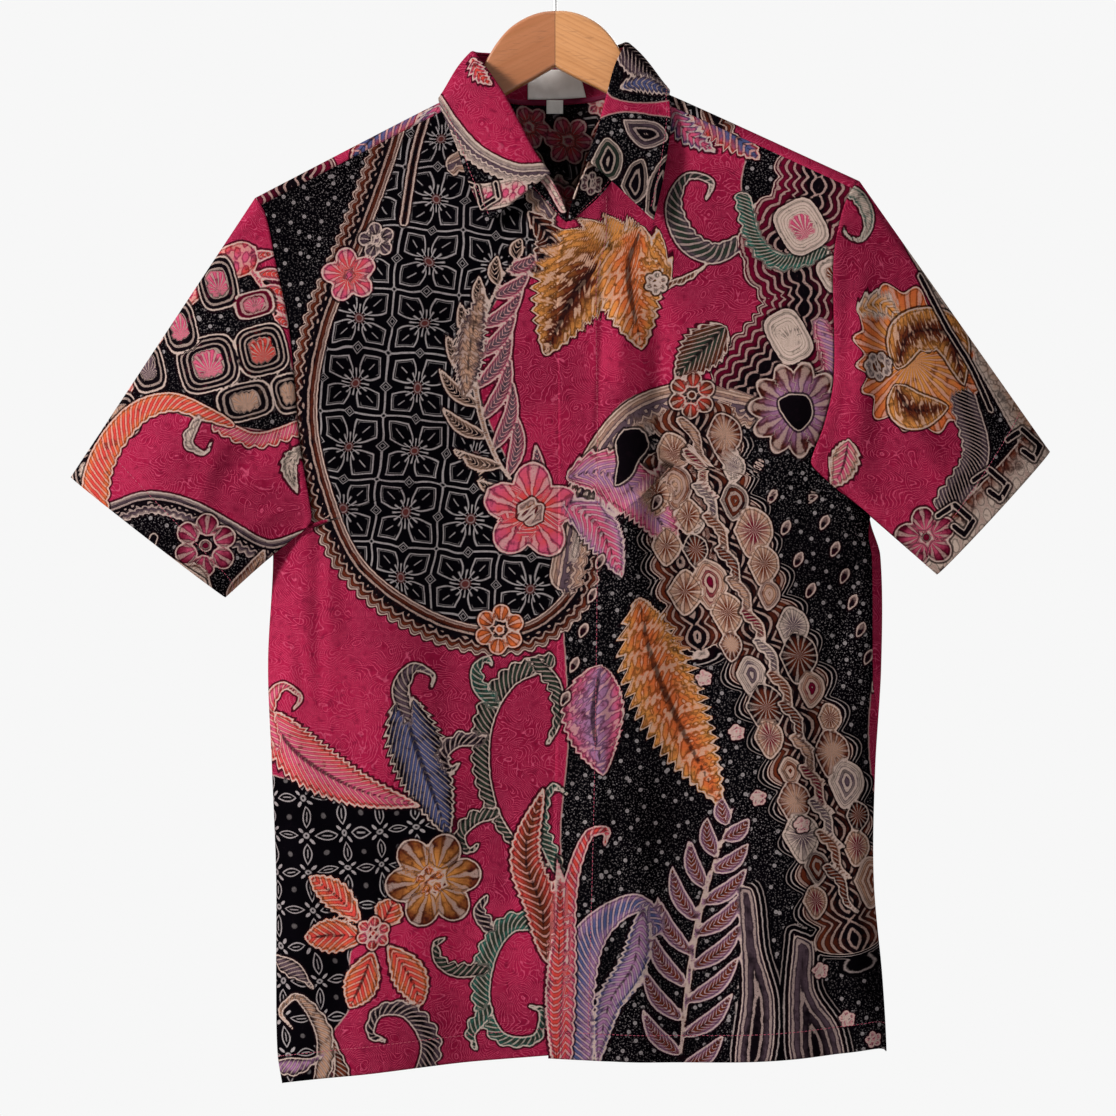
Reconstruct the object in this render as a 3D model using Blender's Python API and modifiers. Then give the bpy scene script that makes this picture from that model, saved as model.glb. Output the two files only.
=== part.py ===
"""A short-sleeved men's batik shirt, size S, with a concealed button fly, on a contoured wooden hanger.

Frame: the origin is where the hanger's hook bears on its rail, +Z is up, the shirt's front is towards -Y
and the wearer's left towards +X. Left and right are the wearer's, as a tailor says them. The tables are
in millimetres. A place on the shirt's body is x and a drop: how far it lies below the shoulder ridge
over that x, negative down the front and positive down the back.
"""

import math

import bmesh
import bpy
from mathutils import Vector

MM = 0.001

# ---- cloth --------------------------------------------------------------------------------------
CLOTH = 1.2  # wall of a cloth piece
COLLAR_CLOTH = 1.6  # two layers and their interlining
LABEL_CLOTH = 1.0
SEAM_GAP = 0.3  # between pieces that are sewn together in one plane
CREASE_GAP = 0.9  # where they meet at an angle, on the shoulder
NECK_GAP = 1.5  # and under the collar stand
SIDE_GAP = 0.005  # the same at the side seams, as a share of the quarter turn round the side
ARMHOLE_GAP = 1.3  # wider, because a sleeve leaves the body at an angle
SLEEVE_PROUD = 4.0  # under the arm the sleeve lies over the front
FLY_PROUD = 2.8  # the fly strip and the left front lie over the right front in steps
FRONT_PROUD = 5.2
FLY_FADE = (35.0, 49.0)  # x over which the left front comes down to the body
FLY_WIDTH = 29.0
FLY_SHOWS = 1.5  # the strip looks out past the front edge
FLY_TOP = -236.0
UNDERLAP = 24.0  # x of the right front's hidden edge

# ---- the body's form ----------------------------------------------------------------------------
RIDGE_TOP = -99.0  # the two shoulder ridges meet in a rounded crown at this height
RIDGE_SLOPE = 0.53
RIDGE_ROUND = 40.0
TILT = 0.0314  # the shirt hangs with its left shoulder up, a slope
RIDGE_RADIUS = 10.0  # how quickly the cloth turns over the shoulder
SHOULDER_DEPTH = 10.5  # half the depth of cloth over the hanger's arm
SEAM_DROP = 9.0  # the shoulder seam lies this far forward of the ridge
NECK_POINT = 74.0  # x where the shoulder seam meets the neckline
OPENING_DROP = 160.0  # front and back part company over this drop
SWEEP = 30.0  # how far the shoulders come forward, and the share of it left at the hem
SWEEP_AT = 215.0
SWEEP_LEFT = 0.35
SWEEP_LEVELS = (-600.0, -180.0)
NECK_BULGE = 17.0  # the back neck stands off the hanger
NECK_BULGE_X, NECK_BULGE_Z = 62.0, 70.0
NECK_BULGE_LEVEL = -128.0

# z, right edge, left edge, half depth
BODY = (
    (-120.0, -262.0, 264.0, 30.0),
    (-200.0, -258.0, 260.0, 35.0),
    (-300.0, -240.0, 248.0, 38.0),
    (-400.0, -219.0, 237.0, 39.0),
    (-441.0, -213.0, 234.0, 40.0),
    (-470.0, -210.0, 242.0, 40.0),
    (-550.0, -214.0, 243.0, 41.0),
    (-630.0, -211.0, 238.5, 42.0),
    (-710.0, -208.0, 237.5, 42.0),
    (-785.0, -208.0, 244.0, 41.0),
    (-840.0, -207.0, 247.0, 40.0),
    (-866.0, -203.0, 246.0, 40.0),
)

# the largest folds: each leans from a top to a foot, and stands out (or in, negative) of the cloth
# x of the top, z of the top, x of the foot, z of the foot, half width, height
FRONT_FOLDS = (
    (-176.0, -440.0, -190.0, -640.0, 20.0, 5.0),
    (-120.0, -380.0, -132.0, -880.0, 34.0, 4.0),
    (-62.0, -330.0, -66.0, -880.0, 30.0, -4.0),
    (56.0, -250.0, 54.0, -560.0, 22.0, 3.5),
    (92.0, -330.0, 104.0, -880.0, 32.0, -4.5),
    (150.0, -300.0, 168.0, -880.0, 30.0, 4.0),
    (204.0, -470.0, 212.0, -880.0, 22.0, -3.5),
)
BACK_FOLDS = (
    (-150.0, -300.0, -165.0, -880.0, 32.0, 5.0),
    (-95.0, -260.0, -100.0, -880.0, 30.0, -4.5),
    (-30.0, -190.0, -28.0, -880.0, 30.0, 5.0),
    (40.0, -230.0, 46.0, -880.0, 32.0, -5.0),
    (110.0, -250.0, 120.0, -880.0, 34.0, 5.0),
    (176.0, -330.0, 190.0, -880.0, 28.0, -4.0),
)

# ---- outlines of the cut pieces -----------------------------------------------------------------
# z, x down an armhole, from the shoulder's tip to the underarm
FRONT_ARMHOLE = {
    "right": (
        (-204.0, -222.0), (-216.0, -214.5), (-250.0, -207.0), (-302.0, -196.0), (-384.0, -188.5),
        (-430.0, -181.0), (-446.0, -181.0), (-457.0, -193.0), (-470.0, -210.0),
    ),
    "left": (
        (-191.0, 226.0), (-200.0, 218.5), (-216.0, 212.0), (-251.0, 205.5), (-340.0, 205.0),
        (-373.0, 198.0), (-394.0, 190.0), (-403.0, 189.0), (-414.0, 201.0), (-428.0, 218.0),
        (-441.0, 234.0),
    ),
}
BACK_ARMHOLE = {
    "right": ((-204.0, -222.0), (-250.0, -211.0), (-330.0, -203.0), (-420.0, -202.0), (-470.0, -210.0)),
    "left": ((-191.0, 226.0), (-240.0, 214.0), (-320.0, 209.0), (-400.0, 217.0), (-441.0, 234.0)),
}
# x, z along a hem
RIGHT_HEM = (
    (-203.0, -863.0), (-173.0, -860.0), (-120.0, -854.0), (-80.0, -847.5), (-14.0, -837.0),
    (26.0, -834.0),
)
LEFT_HEM = (
    (-6.0, -839.0), (27.0, -842.0), (85.0, -844.5), (133.0, -841.0), (170.0, -837.5), (212.0, -835.0),
    (246.0, -838.5),
)
BACK_HEM = ((-203.0, -863.0), (-120.0, -851.0), (0.0, -834.0), (120.0, -832.0), (246.0, -838.5))
FRONT_EDGE = ((-842.0, -5.2), (-600.0, 0.5), (-390.0, 2.5), (-252.0, 1.3), (-238.0, 4.0), (-223.0, 9.0))
LEFT_SIDE_WRAP = ((-866.0, 0.0), (-600.0, 0.0), (-560.0, 7.0), (-462.0, 7.0), (-441.0, 0.0))
# ^ z, how far the back comes round to the front at the left side seam

# shares of the drop to the underarm, then of the side seam, at which the nets have a row
ARMHOLE_ROWS = (0.034, 0.09, 0.17, 0.28, 0.40, 0.54, 0.68, 0.80, 0.85, 0.89, 0.93, 0.96, 0.982, 1.0)
CAP_ROWS = (0.0, 0.012)
SIDE_ROWS = (0.10, 0.22, 0.36, 0.50, 0.66, 0.82, 1.0)
BACK_CAP_DROPS = (-9.0, -4.0, 0.0, 4.0, 9.0, 24.0)
OUTER_COLUMNS = (95.0, 122.0, 150.0, 178.0, 201.0)
TIP_COLUMNS = {"right": (-214.0, -222.0), "left": (217.0, 226.0)}

# ---- collar: stations from the right front end, round the back, to the left front end -----------
# x and drop of the neck seam, then x, y, z of the top edge
STAND = (
    (7.5, -122.5, 8.0, -35.5, -215.5),
    (-4.0, -110.5, 4.0, -35.5, -204.0),
    (-16.0, -96.5, -5.0, -34.5, -188.0),
    (-27.0, -82.0, -16.5, -31.5, -172.0),
    (-40.0, -65.0, -27.5, -27.0, -151.0),
    (-56.0, -42.0, -40.5, -21.5, -126.5),
    (-68.0, -21.2, -53.5, -16.0, -107.0),
    (-74.0, -9.0, -60.5, -4.5, -96.5),
    (-71.5, 1.5, -61.5, 6.0, -94.0),
    (-64.0, 5.5, -57.5, 17.0, -93.5),
    (-48.0, 14.0, -44.0, 27.5, -93.0),
    (-25.0, 26.0, -24.0, 33.5, -92.8),
    (0.0, 30.5, -4.0, 35.0, -92.4),
    (25.0, 26.0, 16.0, 33.5, -91.6),
    (48.0, 14.0, 34.0, 27.5, -90.0),
    (64.0, 5.5, 47.5, 17.0, -88.0),
    (71.5, 1.5, 53.5, 4.0, -87.5),
    (74.0, -9.0, 53.0, -9.0, -91.5),
    (68.0, -26.5, 46.5, -16.0, -106.0),
    (58.0, -51.7, 40.5, -23.0, -128.0),
    (46.0, -77.3, 33.5, -30.0, -154.0),
    (33.0, -98.8, 25.0, -35.5, -178.0),
    (20.0, -114.1, 16.0, -38.5, -199.0),
    (11.0, -122.8, 11.5, -39.5, -215.5),
)
# station of the stand, then x, y, z of the leaf's free edge
LEAF = (
    (2.0, -51.0, -40.0, -224.0),
    (3.0, -58.5, -36.0, -206.0),
    (4.0, -66.0, -32.0, -188.0),
    (5.0, -72.5, -28.0, -168.0),
    (6.0, -79.5, -22.5, -150.0),
    (7.0, -85.0, -19.5, -136.0),
    (8.0, -87.0, -3.0, -127.0),
    (9.0, -80.0, 20.0, -127.0),
    (10.0, -58.0, 36.0, -131.0),
    (11.0, -29.0, 42.5, -135.0),
    (12.0, -2.0, 44.0, -136.0),
    (13.0, 24.0, 42.5, -134.5),
    (14.0, 51.0, 36.0, -129.5),
    (15.0, 74.0, 20.0, -123.0),
    (16.0, 85.0, -3.0, -120.5),
    (17.0, 85.0, -19.5, -130.0),
    (18.0, 86.0, -23.0, -148.0),
    (19.0, 83.5, -30.0, -170.0),
    (20.0, 79.5, -36.0, -194.0),
    (21.0, 73.0, -42.0, -221.5),
)
# the leaf's turn over the stand's top edge: outwards, upwards
ROLL = ((-1.6, 0.4), (-1.4, 2.4), (0.3, 3.6), (2.6, 2.4))
LEAF_BULGE = (0.45, 1.5)  # share of the way down the leaf, and how far it stands out there

# ---- sleeves: the hem's opening, seen from the front --------------------------------------------
# x, z of the upper fold, x, z of the lower fold, middle y, half depth, fullness
SLEEVE = {
    "right": (-360.0, -411.0, -245.0, -500.5, -21.0, 24.0, 5.0),
    "left": (368.0, -392.0, 284.0, -483.5, -19.0, 30.0, 6.0),
}
PROUD_DROPS = (0.55, 0.82)  # share of the front armhole over which the sleeve comes to stand proud
SLEEVE_RINGS = (0.0, 0.12, 0.26, 0.42, 0.58, 0.74, 0.88, 1.0)

# ---- labels -------------------------------------------------------------------------------------
LABEL = (11.18, 12.97, 0.12, 0.73)  # stations of the stand, then shares of its height
SIZE_TAG = (-6.5, 6.0, -136.0, -131.5)  # x, then z
LABEL_STEPS = 6
LABEL_OFF = 0.5  # over the stand
TAG_OFF = 1.8  # over the back

# ---- hanger -------------------------------------------------------------------------------------
ARM_NECK = (  # x, top, foot of the arch that rises through the collar
    (0.0, -62.0, -104.0), (9.0, -62.6, -109.0), (18.0, -65.0, -114.0), (27.0, -69.3, -118.6),
    (36.0, -76.0, -123.5), (45.0, -87.0, -128.5), (53.0, -101.0, -133.0), (62.0, -118.0, -139.0),
    (72.0, -131.5, -146.0), (84.0, -135.0, -154.0),
)
ARM_OUTER = (  # x, height below the shoulder's cloth
    (100.0, 25.0), (125.0, 26.5), (150.0, 26.5), (175.0, 25.5), (195.0, 24.0), (206.0, 20.0), (212.0, 13.0),
)
ARM_CLEARANCE = 3.5  # wood below the outside of the cloth
ARM_THICKNESS = ((0.0, 12.5), (150.0, 12.5), (212.0, 10.5))
ARM_CORNER = 3.0
HOOK_RADIUS = 22.0  # to the wire's centre line
WIRE_RADIUS = 1.6
HOOK_TURN = (-50.0, 205.0)  # degrees, from where the shank joins the bend to its tip
SHANK_TOP = -53.0
HOOK_STEPS = 22

# ---- materials: base colour, roughness, metallic ------------------------------------------------
LOOKS = {
    "crimson_batik": ((0.32, 0.012, 0.05), 0.72, 0.0),
    "black_batik": ((0.02, 0.016, 0.022), 0.72, 0.0),
    "label_weave": ((0.62, 0.60, 0.56), 0.6, 0.0),
    "varnished_wood": ((0.50, 0.22, 0.08), 0.4, 0.0),
    "bright_steel": ((0.62, 0.62, 0.64), 0.22, 1.0),
}


# ---- curves through tables ----------------------------------------------------------------------
def smooth(edge_a, edge_b, value):
    """0 at edge_a, 1 at edge_b, smooth between."""
    t = min(1.0, max(0.0, (value - edge_a) / (edge_b - edge_a)))
    return t * t * (3 - 2 * t)


def along(rows, at, column=1):
    """A smooth curve through a table's rows, read at one value of their first column."""
    rows = sorted(rows)
    at = min(max(at, rows[0][0]), rows[-1][0])
    i = max(k for k in range(len(rows) - 1) if rows[k][0] <= at)
    low, high = rows[i], rows[i + 1]
    before, after = rows[max(i - 1, 0)], rows[min(i + 2, len(rows) - 1)]
    span = high[0] - low[0]
    t = (at - low[0]) / span
    slope_low = (high[column] - before[column]) / (high[0] - before[0]) * span
    slope_high = (after[column] - low[column]) / (after[0] - low[0]) * span
    return (
        (2 * t**3 - 3 * t**2 + 1) * low[column]
        + (t**3 - 2 * t**2 + t) * slope_low
        + (3 * t**2 - 2 * t**3) * high[column]
        + (t**3 - t**2) * slope_high
    )


# ---- the hanging body ---------------------------------------------------------------------------
def ridge_z(x):
    """Height of the shoulder ridge over x."""
    return RIDGE_TOP - RIDGE_SLOPE * (math.hypot(x, RIDGE_ROUND) - RIDGE_ROUND) + x * TILT


def envelope(z):
    """(middle, half width, half depth) of the body at a level."""
    right, left, depth = (along(BODY, z, column) for column in (1, 2, 3))
    return (left + right) / 2, (left - right) / 2, depth


def sweep_y(x, z):
    """The body's middle plane: it follows the hanger's arms forward and straightens towards the hem."""
    share = SWEEP_LEFT + (1 - SWEEP_LEFT) * smooth(*SWEEP_LEVELS, z)
    return -SWEEP * (x / SWEEP_AT) ** 2 * share


def fold_height(folds, x, z):
    total = 0.0
    for x_top, z_top, x_foot, z_foot, half_width, height in folds:
        t = (z_top - z) / (z_top - z_foot)
        if t > 0:
            middle = x_top + (x_foot - x_top) * t
            total += height * smooth(0.0, 0.35, t) * math.exp(-(((x - middle) / half_width) ** 2))
    return total


def half_depth(x, z, folds):
    """Distance of the cloth from the middle plane."""
    middle, half_width, depth = envelope(z)
    s = min(1.0, abs((x - middle) / half_width))
    drop = max(0.0, ridge_z(x) - z)
    over_ridge = math.sqrt(1 - (1 - min(drop / RIDGE_RADIUS, 1.0)) ** 2)
    opened = smooth(0.0, OPENING_DROP, drop) * math.sqrt(1 - s**4)
    held = SHOULDER_DEPTH * over_ridge * math.sqrt(1 - s**16)
    return held + (depth - SHOULDER_DEPTH + fold_height(folds, x, z)) * opened


def front_y(x, z):
    return sweep_y(x, z) - half_depth(x, z, FRONT_FOLDS)


def back_y(x, z):
    bulge = math.exp(-((x / NECK_BULGE_X) ** 2) - ((z - NECK_BULGE_LEVEL) / NECK_BULGE_Z) ** 2)
    return sweep_y(x, z) + half_depth(x, z, BACK_FOLDS) + NECK_BULGE * bulge


def fly_lift(x, lift):
    """How far a layer of the closing lies in front of the body at x."""
    return lift * (1 - smooth(*FLY_FADE, x))


def on_body(x, drop, lift=0.0):
    """A point of the body from its x and its drop, with the closing's lift on the front."""
    z = ridge_z(x) - abs(drop)
    if drop > 0:
        return Vector((x, back_y(x, z), z))
    return Vector((x, front_y(x, z) - fly_lift(x, lift), z))


def side_angle(x, z):
    """-1 at the right side edge, 0 in the middle and 1 at the left side edge, evenly round the bend."""
    middle, half_width, _ = envelope(z)
    return math.asin(max(-1.0, min(1.0, (x - middle) / half_width))) * 2 / math.pi


def at_angle(q, z, surface):
    """The body's point at a side angle; past the side edge, the cloth comes round to the other face."""
    middle, half_width, _ = envelope(z)
    x = middle + half_width * math.sin(q * math.pi / 2)
    if abs(q) > 1:
        surface = front_y if surface is back_y else back_y
    return Vector((x, surface(x, z), z))


# ---- edges of the panels ------------------------------------------------------------------------
def armhole_place(armhole, share):
    """(x, z) on an armhole, at a share of the drop from the ridge to the underarm."""
    under_z, under_x = armhole[-1]
    drop = share * (ridge_z(under_x) - under_z)
    x = armhole[0][1]
    for _ in range(40):
        z = ridge_z(x) - drop
        x = along(armhole, z)
    return x, z


def side_place(side, share):
    """(x, z) on the side seam's edge, at a share of its length from underarm to hem."""
    under_z = FRONT_ARMHOLE[side][-1][0]
    foot_z = RIGHT_HEM[0][1] if side == "right" else LEFT_HEM[-1][1]
    z = under_z + (foot_z - under_z) * share
    return along(BODY, z, 1 if side == "right" else 2), z


def side_reach(side, z, on_back):
    """Side angle of a panel's seam edge at a level below the underarm."""
    if side == "right":
        return SIDE_GAP - 1
    edge = along(BODY, z, 2)
    wrap = 1 - side_angle(edge - along(LEFT_SIDE_WRAP, z), z)
    return 1 + (wrap if on_back else -wrap) - SIDE_GAP


def outer_edge(side, on_back):
    """The rows of a panel's outer edge from armhole top to hem, each (side angle, z)."""
    armhole = (BACK_ARMHOLE if on_back else FRONT_ARMHOLE)[side]
    rows = []
    for share in ARMHOLE_ROWS:
        x, z = armhole_place(armhole, share)
        q = side_angle(x, z)
        rows.append((max(SIDE_GAP - 1, min(1 - SIDE_GAP, q)), z))
    for share in SIDE_ROWS:
        _, z = side_place(side, share)
        rows.append((side_reach(side, z, on_back), z))
    return rows


def neck_table(side):
    """x, drop along the neckline of one front, from its centre edge almost to the neck point."""
    if side == "right":
        stations = [row[:2] for row in STAND[:7]]
        return [(UNDERLAP, -127.0), *stations]
    return [row[:2] for row in reversed(STAND[18:])]


# ---- nets of points -----------------------------------------------------------------------------
def front_net(side):
    """Rows of a front panel, each from the wearer's right to left, from the top edge to the hem."""
    sign = 1 if side == "left" else -1
    lift = FRONT_PROUD if side == "left" else 0.0
    hem = LEFT_HEM if side == "left" else RIGHT_HEM
    top = [(x, drop - SEAM_GAP) for x, drop in neck_table(side)]
    top += [(sign * x, -SEAM_DROP - CREASE_GAP) for x in (NECK_POINT, *OUTER_COLUMNS)]
    top += [(x, -SEAM_DROP - CREASE_GAP) for x in TIP_COLUMNS[side]]
    edge = outer_edge(side, on_back=False)
    under_z, under_x = FRONT_ARMHOLE[side][-1]
    tip_share = (SEAM_DROP + CREASE_GAP) / (ridge_z(under_x) - under_z)
    tip_x, tip_z = armhole_place(FRONT_ARMHOLE[side], tip_share)
    top[-1] = (tip_x, tip_z - ridge_z(tip_x))
    points = [on_body(x, drop, lift) for x, drop in top]
    angles = [side_angle(point.x, point.z) for point in points]
    shares = [(q - angles[0]) / (angles[-1] - angles[0]) for q in angles]
    rows = [points]
    inner_foot = hem[0][1] if side == "left" else hem[-1][1]
    for q_out, z_out in edge[1:]:
        v = (edge[0][1] - z_out) / (edge[0][1] - edge[-1][1])
        z_in = points[0].z + (inner_foot - points[0].z) * v
        x_in = along(FRONT_EDGE, z_in) if side == "left" else UNDERLAP
        q_in = side_angle(x_in, z_in)
        row = []
        for share, start in zip(shares, points):
            q = q_in + (q_out - q_in) * share
            foot_x = sign * 12.0 + (edge_foot(side) - sign * 12.0) * share
            z = start.z + (along(hem, foot_x) - start.z) * v
            point = at_angle(q, z, front_y)
            point.y -= fly_lift(point.x, lift)
            row.append(point)
        rows.append(row)
    return rows if side == "left" else [row[::-1] for row in rows]


def edge_foot(side):
    """x of the hem's outer end."""
    return LEFT_HEM[-1][0] if side == "left" else RIGHT_HEM[0][0]


def back_net():
    """Rows of the back, which comes over the ridge to the shoulder seam, each from right to left."""
    neck = [(x, drop) for x, drop, *_ in STAND[7:18]]
    right = [(-x, -SEAM_DROP) for x in reversed(OUTER_COLUMNS)]
    left = [(x, -SEAM_DROP) for x in OUTER_COLUMNS]
    tips = {side: [(x, -SEAM_DROP) for x in TIP_COLUMNS[side]] for side in TIP_COLUMNS}
    top = [*reversed(tips["right"]), *right, *neck, *left, *tips["left"]]
    rows = []
    for cap_drop in BACK_CAP_DROPS:
        ends = {}
        for side in ("right", "left"):
            armhole = (FRONT_ARMHOLE if cap_drop < 0 else BACK_ARMHOLE)[side]
            under_z, under_x = armhole[-1]
            ends[side], _ = armhole_place(armhole, abs(cap_drop) / (ridge_z(under_x) - under_z))
        row = []
        for x, drop in top:
            side = "right" if x < 0 else "left"
            stretch = 1 + (ends[side] / top[0 if x < 0 else -1][0] - 1) * smooth(NECK_POINT, 200.0, abs(x))
            fall = drop + cap_drop + SEAM_DROP + (SEAM_GAP if drop > -SEAM_DROP else 0.0)
            row.append(on_body(x * stretch, fall if fall else SEAM_GAP / 10))
        rows.append(row)
    edges = {side: outer_edge(side, on_back=True) for side in ("right", "left")}
    start = rows[-1]
    angles = [side_angle(point.x, point.z) for point in start]
    shares = [(q - angles[0]) / (angles[-1] - angles[0]) for q in angles]
    for (q_right, z_right), (q_left, z_left) in zip(edges["right"], edges["left"]):
        v_right = (start[0].z - z_right) / (start[0].z - edges["right"][-1][1])
        v_left = (start[-1].z - z_left) / (start[-1].z - edges["left"][-1][1])
        if v_right <= 0.004 or v_left <= 0.004:
            continue
        row = []
        for share, point in zip(shares, start):
            v = v_right + (v_left - v_right) * share
            foot_x = edge_foot("right") + (edge_foot("left") - edge_foot("right")) * share
            z = point.z + (along(BACK_HEM, foot_x) - point.z) * v
            row.append(at_angle(q_right + (q_left - q_right) * share, z, back_y))
        rows.append(row)
    return rows


def sleeve_net(side):
    """Rings of a sleeve from armhole to hem, each from its upper fold down the front and up the back."""
    top_x, top_z, foot_x, foot_z, middle_y, depth, fullness = SLEEVE[side]
    ring = []
    for armholes, surface, face in ((FRONT_ARMHOLE, front_y, -1), (BACK_ARMHOLE, back_y, 1)):
        places = [armhole_place(armholes[side], share) for share in CAP_ROWS + ARMHOLE_ROWS]
        reach = [0.0]
        for (x0, z0), (x1, z1) in zip(places, places[1:]):
            reach.append(reach[-1] + math.hypot(x1 - x0, z1 - z0))
        half = []
        for (x, z), run in zip(places, reach):
            down = run / reach[-1]
            angle = math.pi * down
            share = (1 - math.cos(angle)) / 2
            hem = Vector((
                top_x + (foot_x - top_x) * share,
                middle_y + face * depth * math.sin(angle),
                top_z + (foot_z - top_z) * share,
            ))
            proud = SLEEVE_PROUD * smooth(*PROUD_DROPS, down) if face < 0 else 0.0
            slope = surface(x + 0.5, z) - surface(x - 0.5, z)
            off = Vector((slope, -1.0, 0.0)).normalized() * proud + Vector((0.0, 0.0, proud / 2))
            half.append((Vector((x, surface(x, z), z)) + off, hem, face * math.sin(angle)))
        ring += half if face < 0 else half[-2:0:-1]
    rings = []
    for w in SLEEVE_RINGS:
        row = []
        for seam, hem, out in ring:
            away = (hem - seam).normalized() * ARMHOLE_GAP
            point = (seam + away).lerp(hem, w)
            point.y += out * fullness * math.sin(math.pi * w)
            row.append(point)
        rings.append(row)
    return rings


def stand_net():
    """The collar stand's seam edge and top edge."""
    seam, top = [], []
    for k, (x, drop, *above) in enumerate(STAND):
        foot = on_body(x, drop, FRONT_PROUD if k > 12 else 0.0)
        above = Vector(above)
        seam.append(foot + (above - foot).normalized() * NECK_GAP)
        top.append(above)
    return [seam, top]


def leaf_net():
    """The collar leaf: its turn over the stand's top edge, then down to its free edge."""
    seams, tops = stand_net()
    rows = [[] for _ in range(len(ROLL) + 2)]
    for station, *edge in LEAF:
        k = int(station)
        run = (tops[k + 1] - tops[k - 1]).normalized()
        rise = tops[k] - seams[k]
        up = (rise - run * rise.dot(run)).normalized()
        out = up.cross(run)
        edge = Vector(edge)
        for row, (across, above) in zip(rows, ROLL):
            row.append(tops[k] + out * across + up * above)
        fold = rows[len(ROLL) - 1][-1]
        rows[-2].append(fold.lerp(edge, LEAF_BULGE[0]) + out * LEAF_BULGE[1])
        rows[-1].append(edge)
    return rows


def fly_net():
    """The strip under the left front's edge that hides the buttons."""
    rows = []
    foot_z = LEFT_HEM[0][1] + 1.5
    steps = len(ARMHOLE_ROWS)
    for k in range(steps + 1):
        z = FLY_TOP + (foot_z - FLY_TOP) * k / steps
        x = along(FRONT_EDGE, z) - FLY_SHOWS * smooth(-560.0, -700.0, z) + 0.5
        xs = [x + (FLY_WIDTH - 1.0) * share for share in (0.0, 0.5, 1.0)]
        rows.append([Vector((x, front_y(x, z) - FLY_PROUD, z)) for x in xs])
    return rows


def label_net():
    """The label's outer face, inside the back of the stand."""
    seams, tops = stand_net()
    first, last, low, high = LABEL
    off = Vector((0.0, -(COLLAR_CLOTH + LABEL_CLOTH + LABEL_OFF), 0.0))
    rows = []
    for height in (low, high):
        row = []
        for k in range(LABEL_STEPS + 1):
            station, part = divmod(first + (last - first) * k / LABEL_STEPS, 1)
            near, far = (
                seams[i].lerp(tops[i], height) for i in (int(station), int(station) + 1)
            )
            row.append(near.lerp(far, part) + off)
        rows.append(row)
    return rows


def size_tag_net():
    """The size tag, which hangs from the neck seam inside the back."""
    first, last, low, high = SIZE_TAG
    off = CLOTH + LABEL_CLOTH + TAG_OFF
    level_y = min(back_y(x, low) for x in (first, last)) - off
    return [[Vector((x, level_y, z)) for x in (first, last)] for z in (low, high)]


# ---- objects ------------------------------------------------------------------------------------
def material(name):
    colour, roughness, metallic = LOOKS[name]
    look = bpy.data.materials.get(name) or bpy.data.materials.new(name)
    look.use_nodes = True
    shader = look.node_tree.nodes["Principled BSDF"]
    shader.inputs["Base Color"].default_value = (*colour, 1.0)
    shader.inputs["Roughness"].default_value = roughness
    shader.inputs["Metallic"].default_value = metallic
    return look


def place(name, data, look, home):
    piece = bpy.data.objects.new(name, data)
    data.materials.append(material(look))
    home.objects.link(piece)
    return piece


def loft(name, rows, closed, flip, caps=False):
    """A mesh through rows of points, in millimetres; closed joins each row's ends."""
    net = bmesh.new()
    grid = [[net.verts.new(point * MM) for point in row] for row in rows]
    for upper, lower in zip(grid, grid[1:]):
        for k in range(0 if closed else 1, len(upper)):
            corners = (upper[k - 1], upper[k], lower[k], lower[k - 1])
            net.faces.new(corners[::-1] if flip else corners)
    if caps:
        net.faces.new(grid[0] if flip else grid[0][::-1])
        net.faces.new(grid[-1][::-1] if flip else grid[-1])
    mesh = bpy.data.meshes.new(name)
    net.to_mesh(mesh)
    net.free()
    mesh.shade_smooth()
    return mesh


def sheet(name, rows, look, home, wall=CLOTH, closed=False, flip=False):
    """A cloth piece: an open net, thickened inwards."""
    piece = place(name, loft(name, rows, closed, flip), look, home)
    shell = piece.modifiers.new("Wall", "SOLIDIFY")
    shell.thickness = wall * MM
    shell.offset = -1.0
    return piece


def hanger_wood(home):
    """Both arms and the arch between them, lofted through upright rounded slices."""
    outer = [(x, ridge_z(x) - x * TILT - ARM_CLEARANCE, height) for x, height in ARM_OUTER]
    half = [*ARM_NECK, *((x, top, top - height) for x, top, height in outer)]
    stations = [(-x, top, foot) for x, top, foot in reversed(half[1:])] + half
    rows = []
    for x, top, foot in stations:
        y = sweep_y(x, 0.0)
        thick = along(ARM_THICKNESS, abs(x)) / 2
        tilt = x * TILT
        inner = thick - ARM_CORNER
        low, high = foot + ARM_CORNER, top - ARM_CORNER
        ring = ((-thick, low), (-thick, high), (-inner, top), (inner, top))
        ring += ((thick, high), (thick, low), (inner, foot), (-inner, foot))
        rows.append([Vector((x, y + across, z + tilt)) for across, z in ring])
    mesh = loft("hanger_wood", rows, closed=True, flip=True, caps=True)
    return place("hanger_wood", mesh, "varnished_wood", home)


def hanger_hook(home):
    """A wire bend whose inner top is the origin, on a straight shank down to the wood."""
    centre_z = WIRE_RADIUS - HOOK_RADIUS
    low, high = (math.radians(angle) for angle in HOOK_TURN)
    points = [Vector((0.0, 0.0, ARM_NECK[0][1] + SEAM_GAP)), Vector((0.0, 0.0, SHANK_TOP))]
    for k in range(HOOK_STEPS + 1):
        angle = low + (high - low) * k / HOOK_STEPS
        x, z = HOOK_RADIUS * math.cos(angle), HOOK_RADIUS * math.sin(angle)
        points.append(Vector((x, 0.0, centre_z + z)))
    wire = bpy.data.curves.new("hanger_hook", "CURVE")
    wire.dimensions = "3D"
    wire.bevel_depth = WIRE_RADIUS * MM
    wire.bevel_resolution = 2
    wire.use_fill_caps = True
    spline = wire.splines.new("POLY")
    spline.points.add(len(points) - 1)
    for knot, point in zip(spline.points, points):
        knot.co = (*(point * MM), 1.0)
    return place("hanger_hook", wire, "bright_steel", home)


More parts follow.
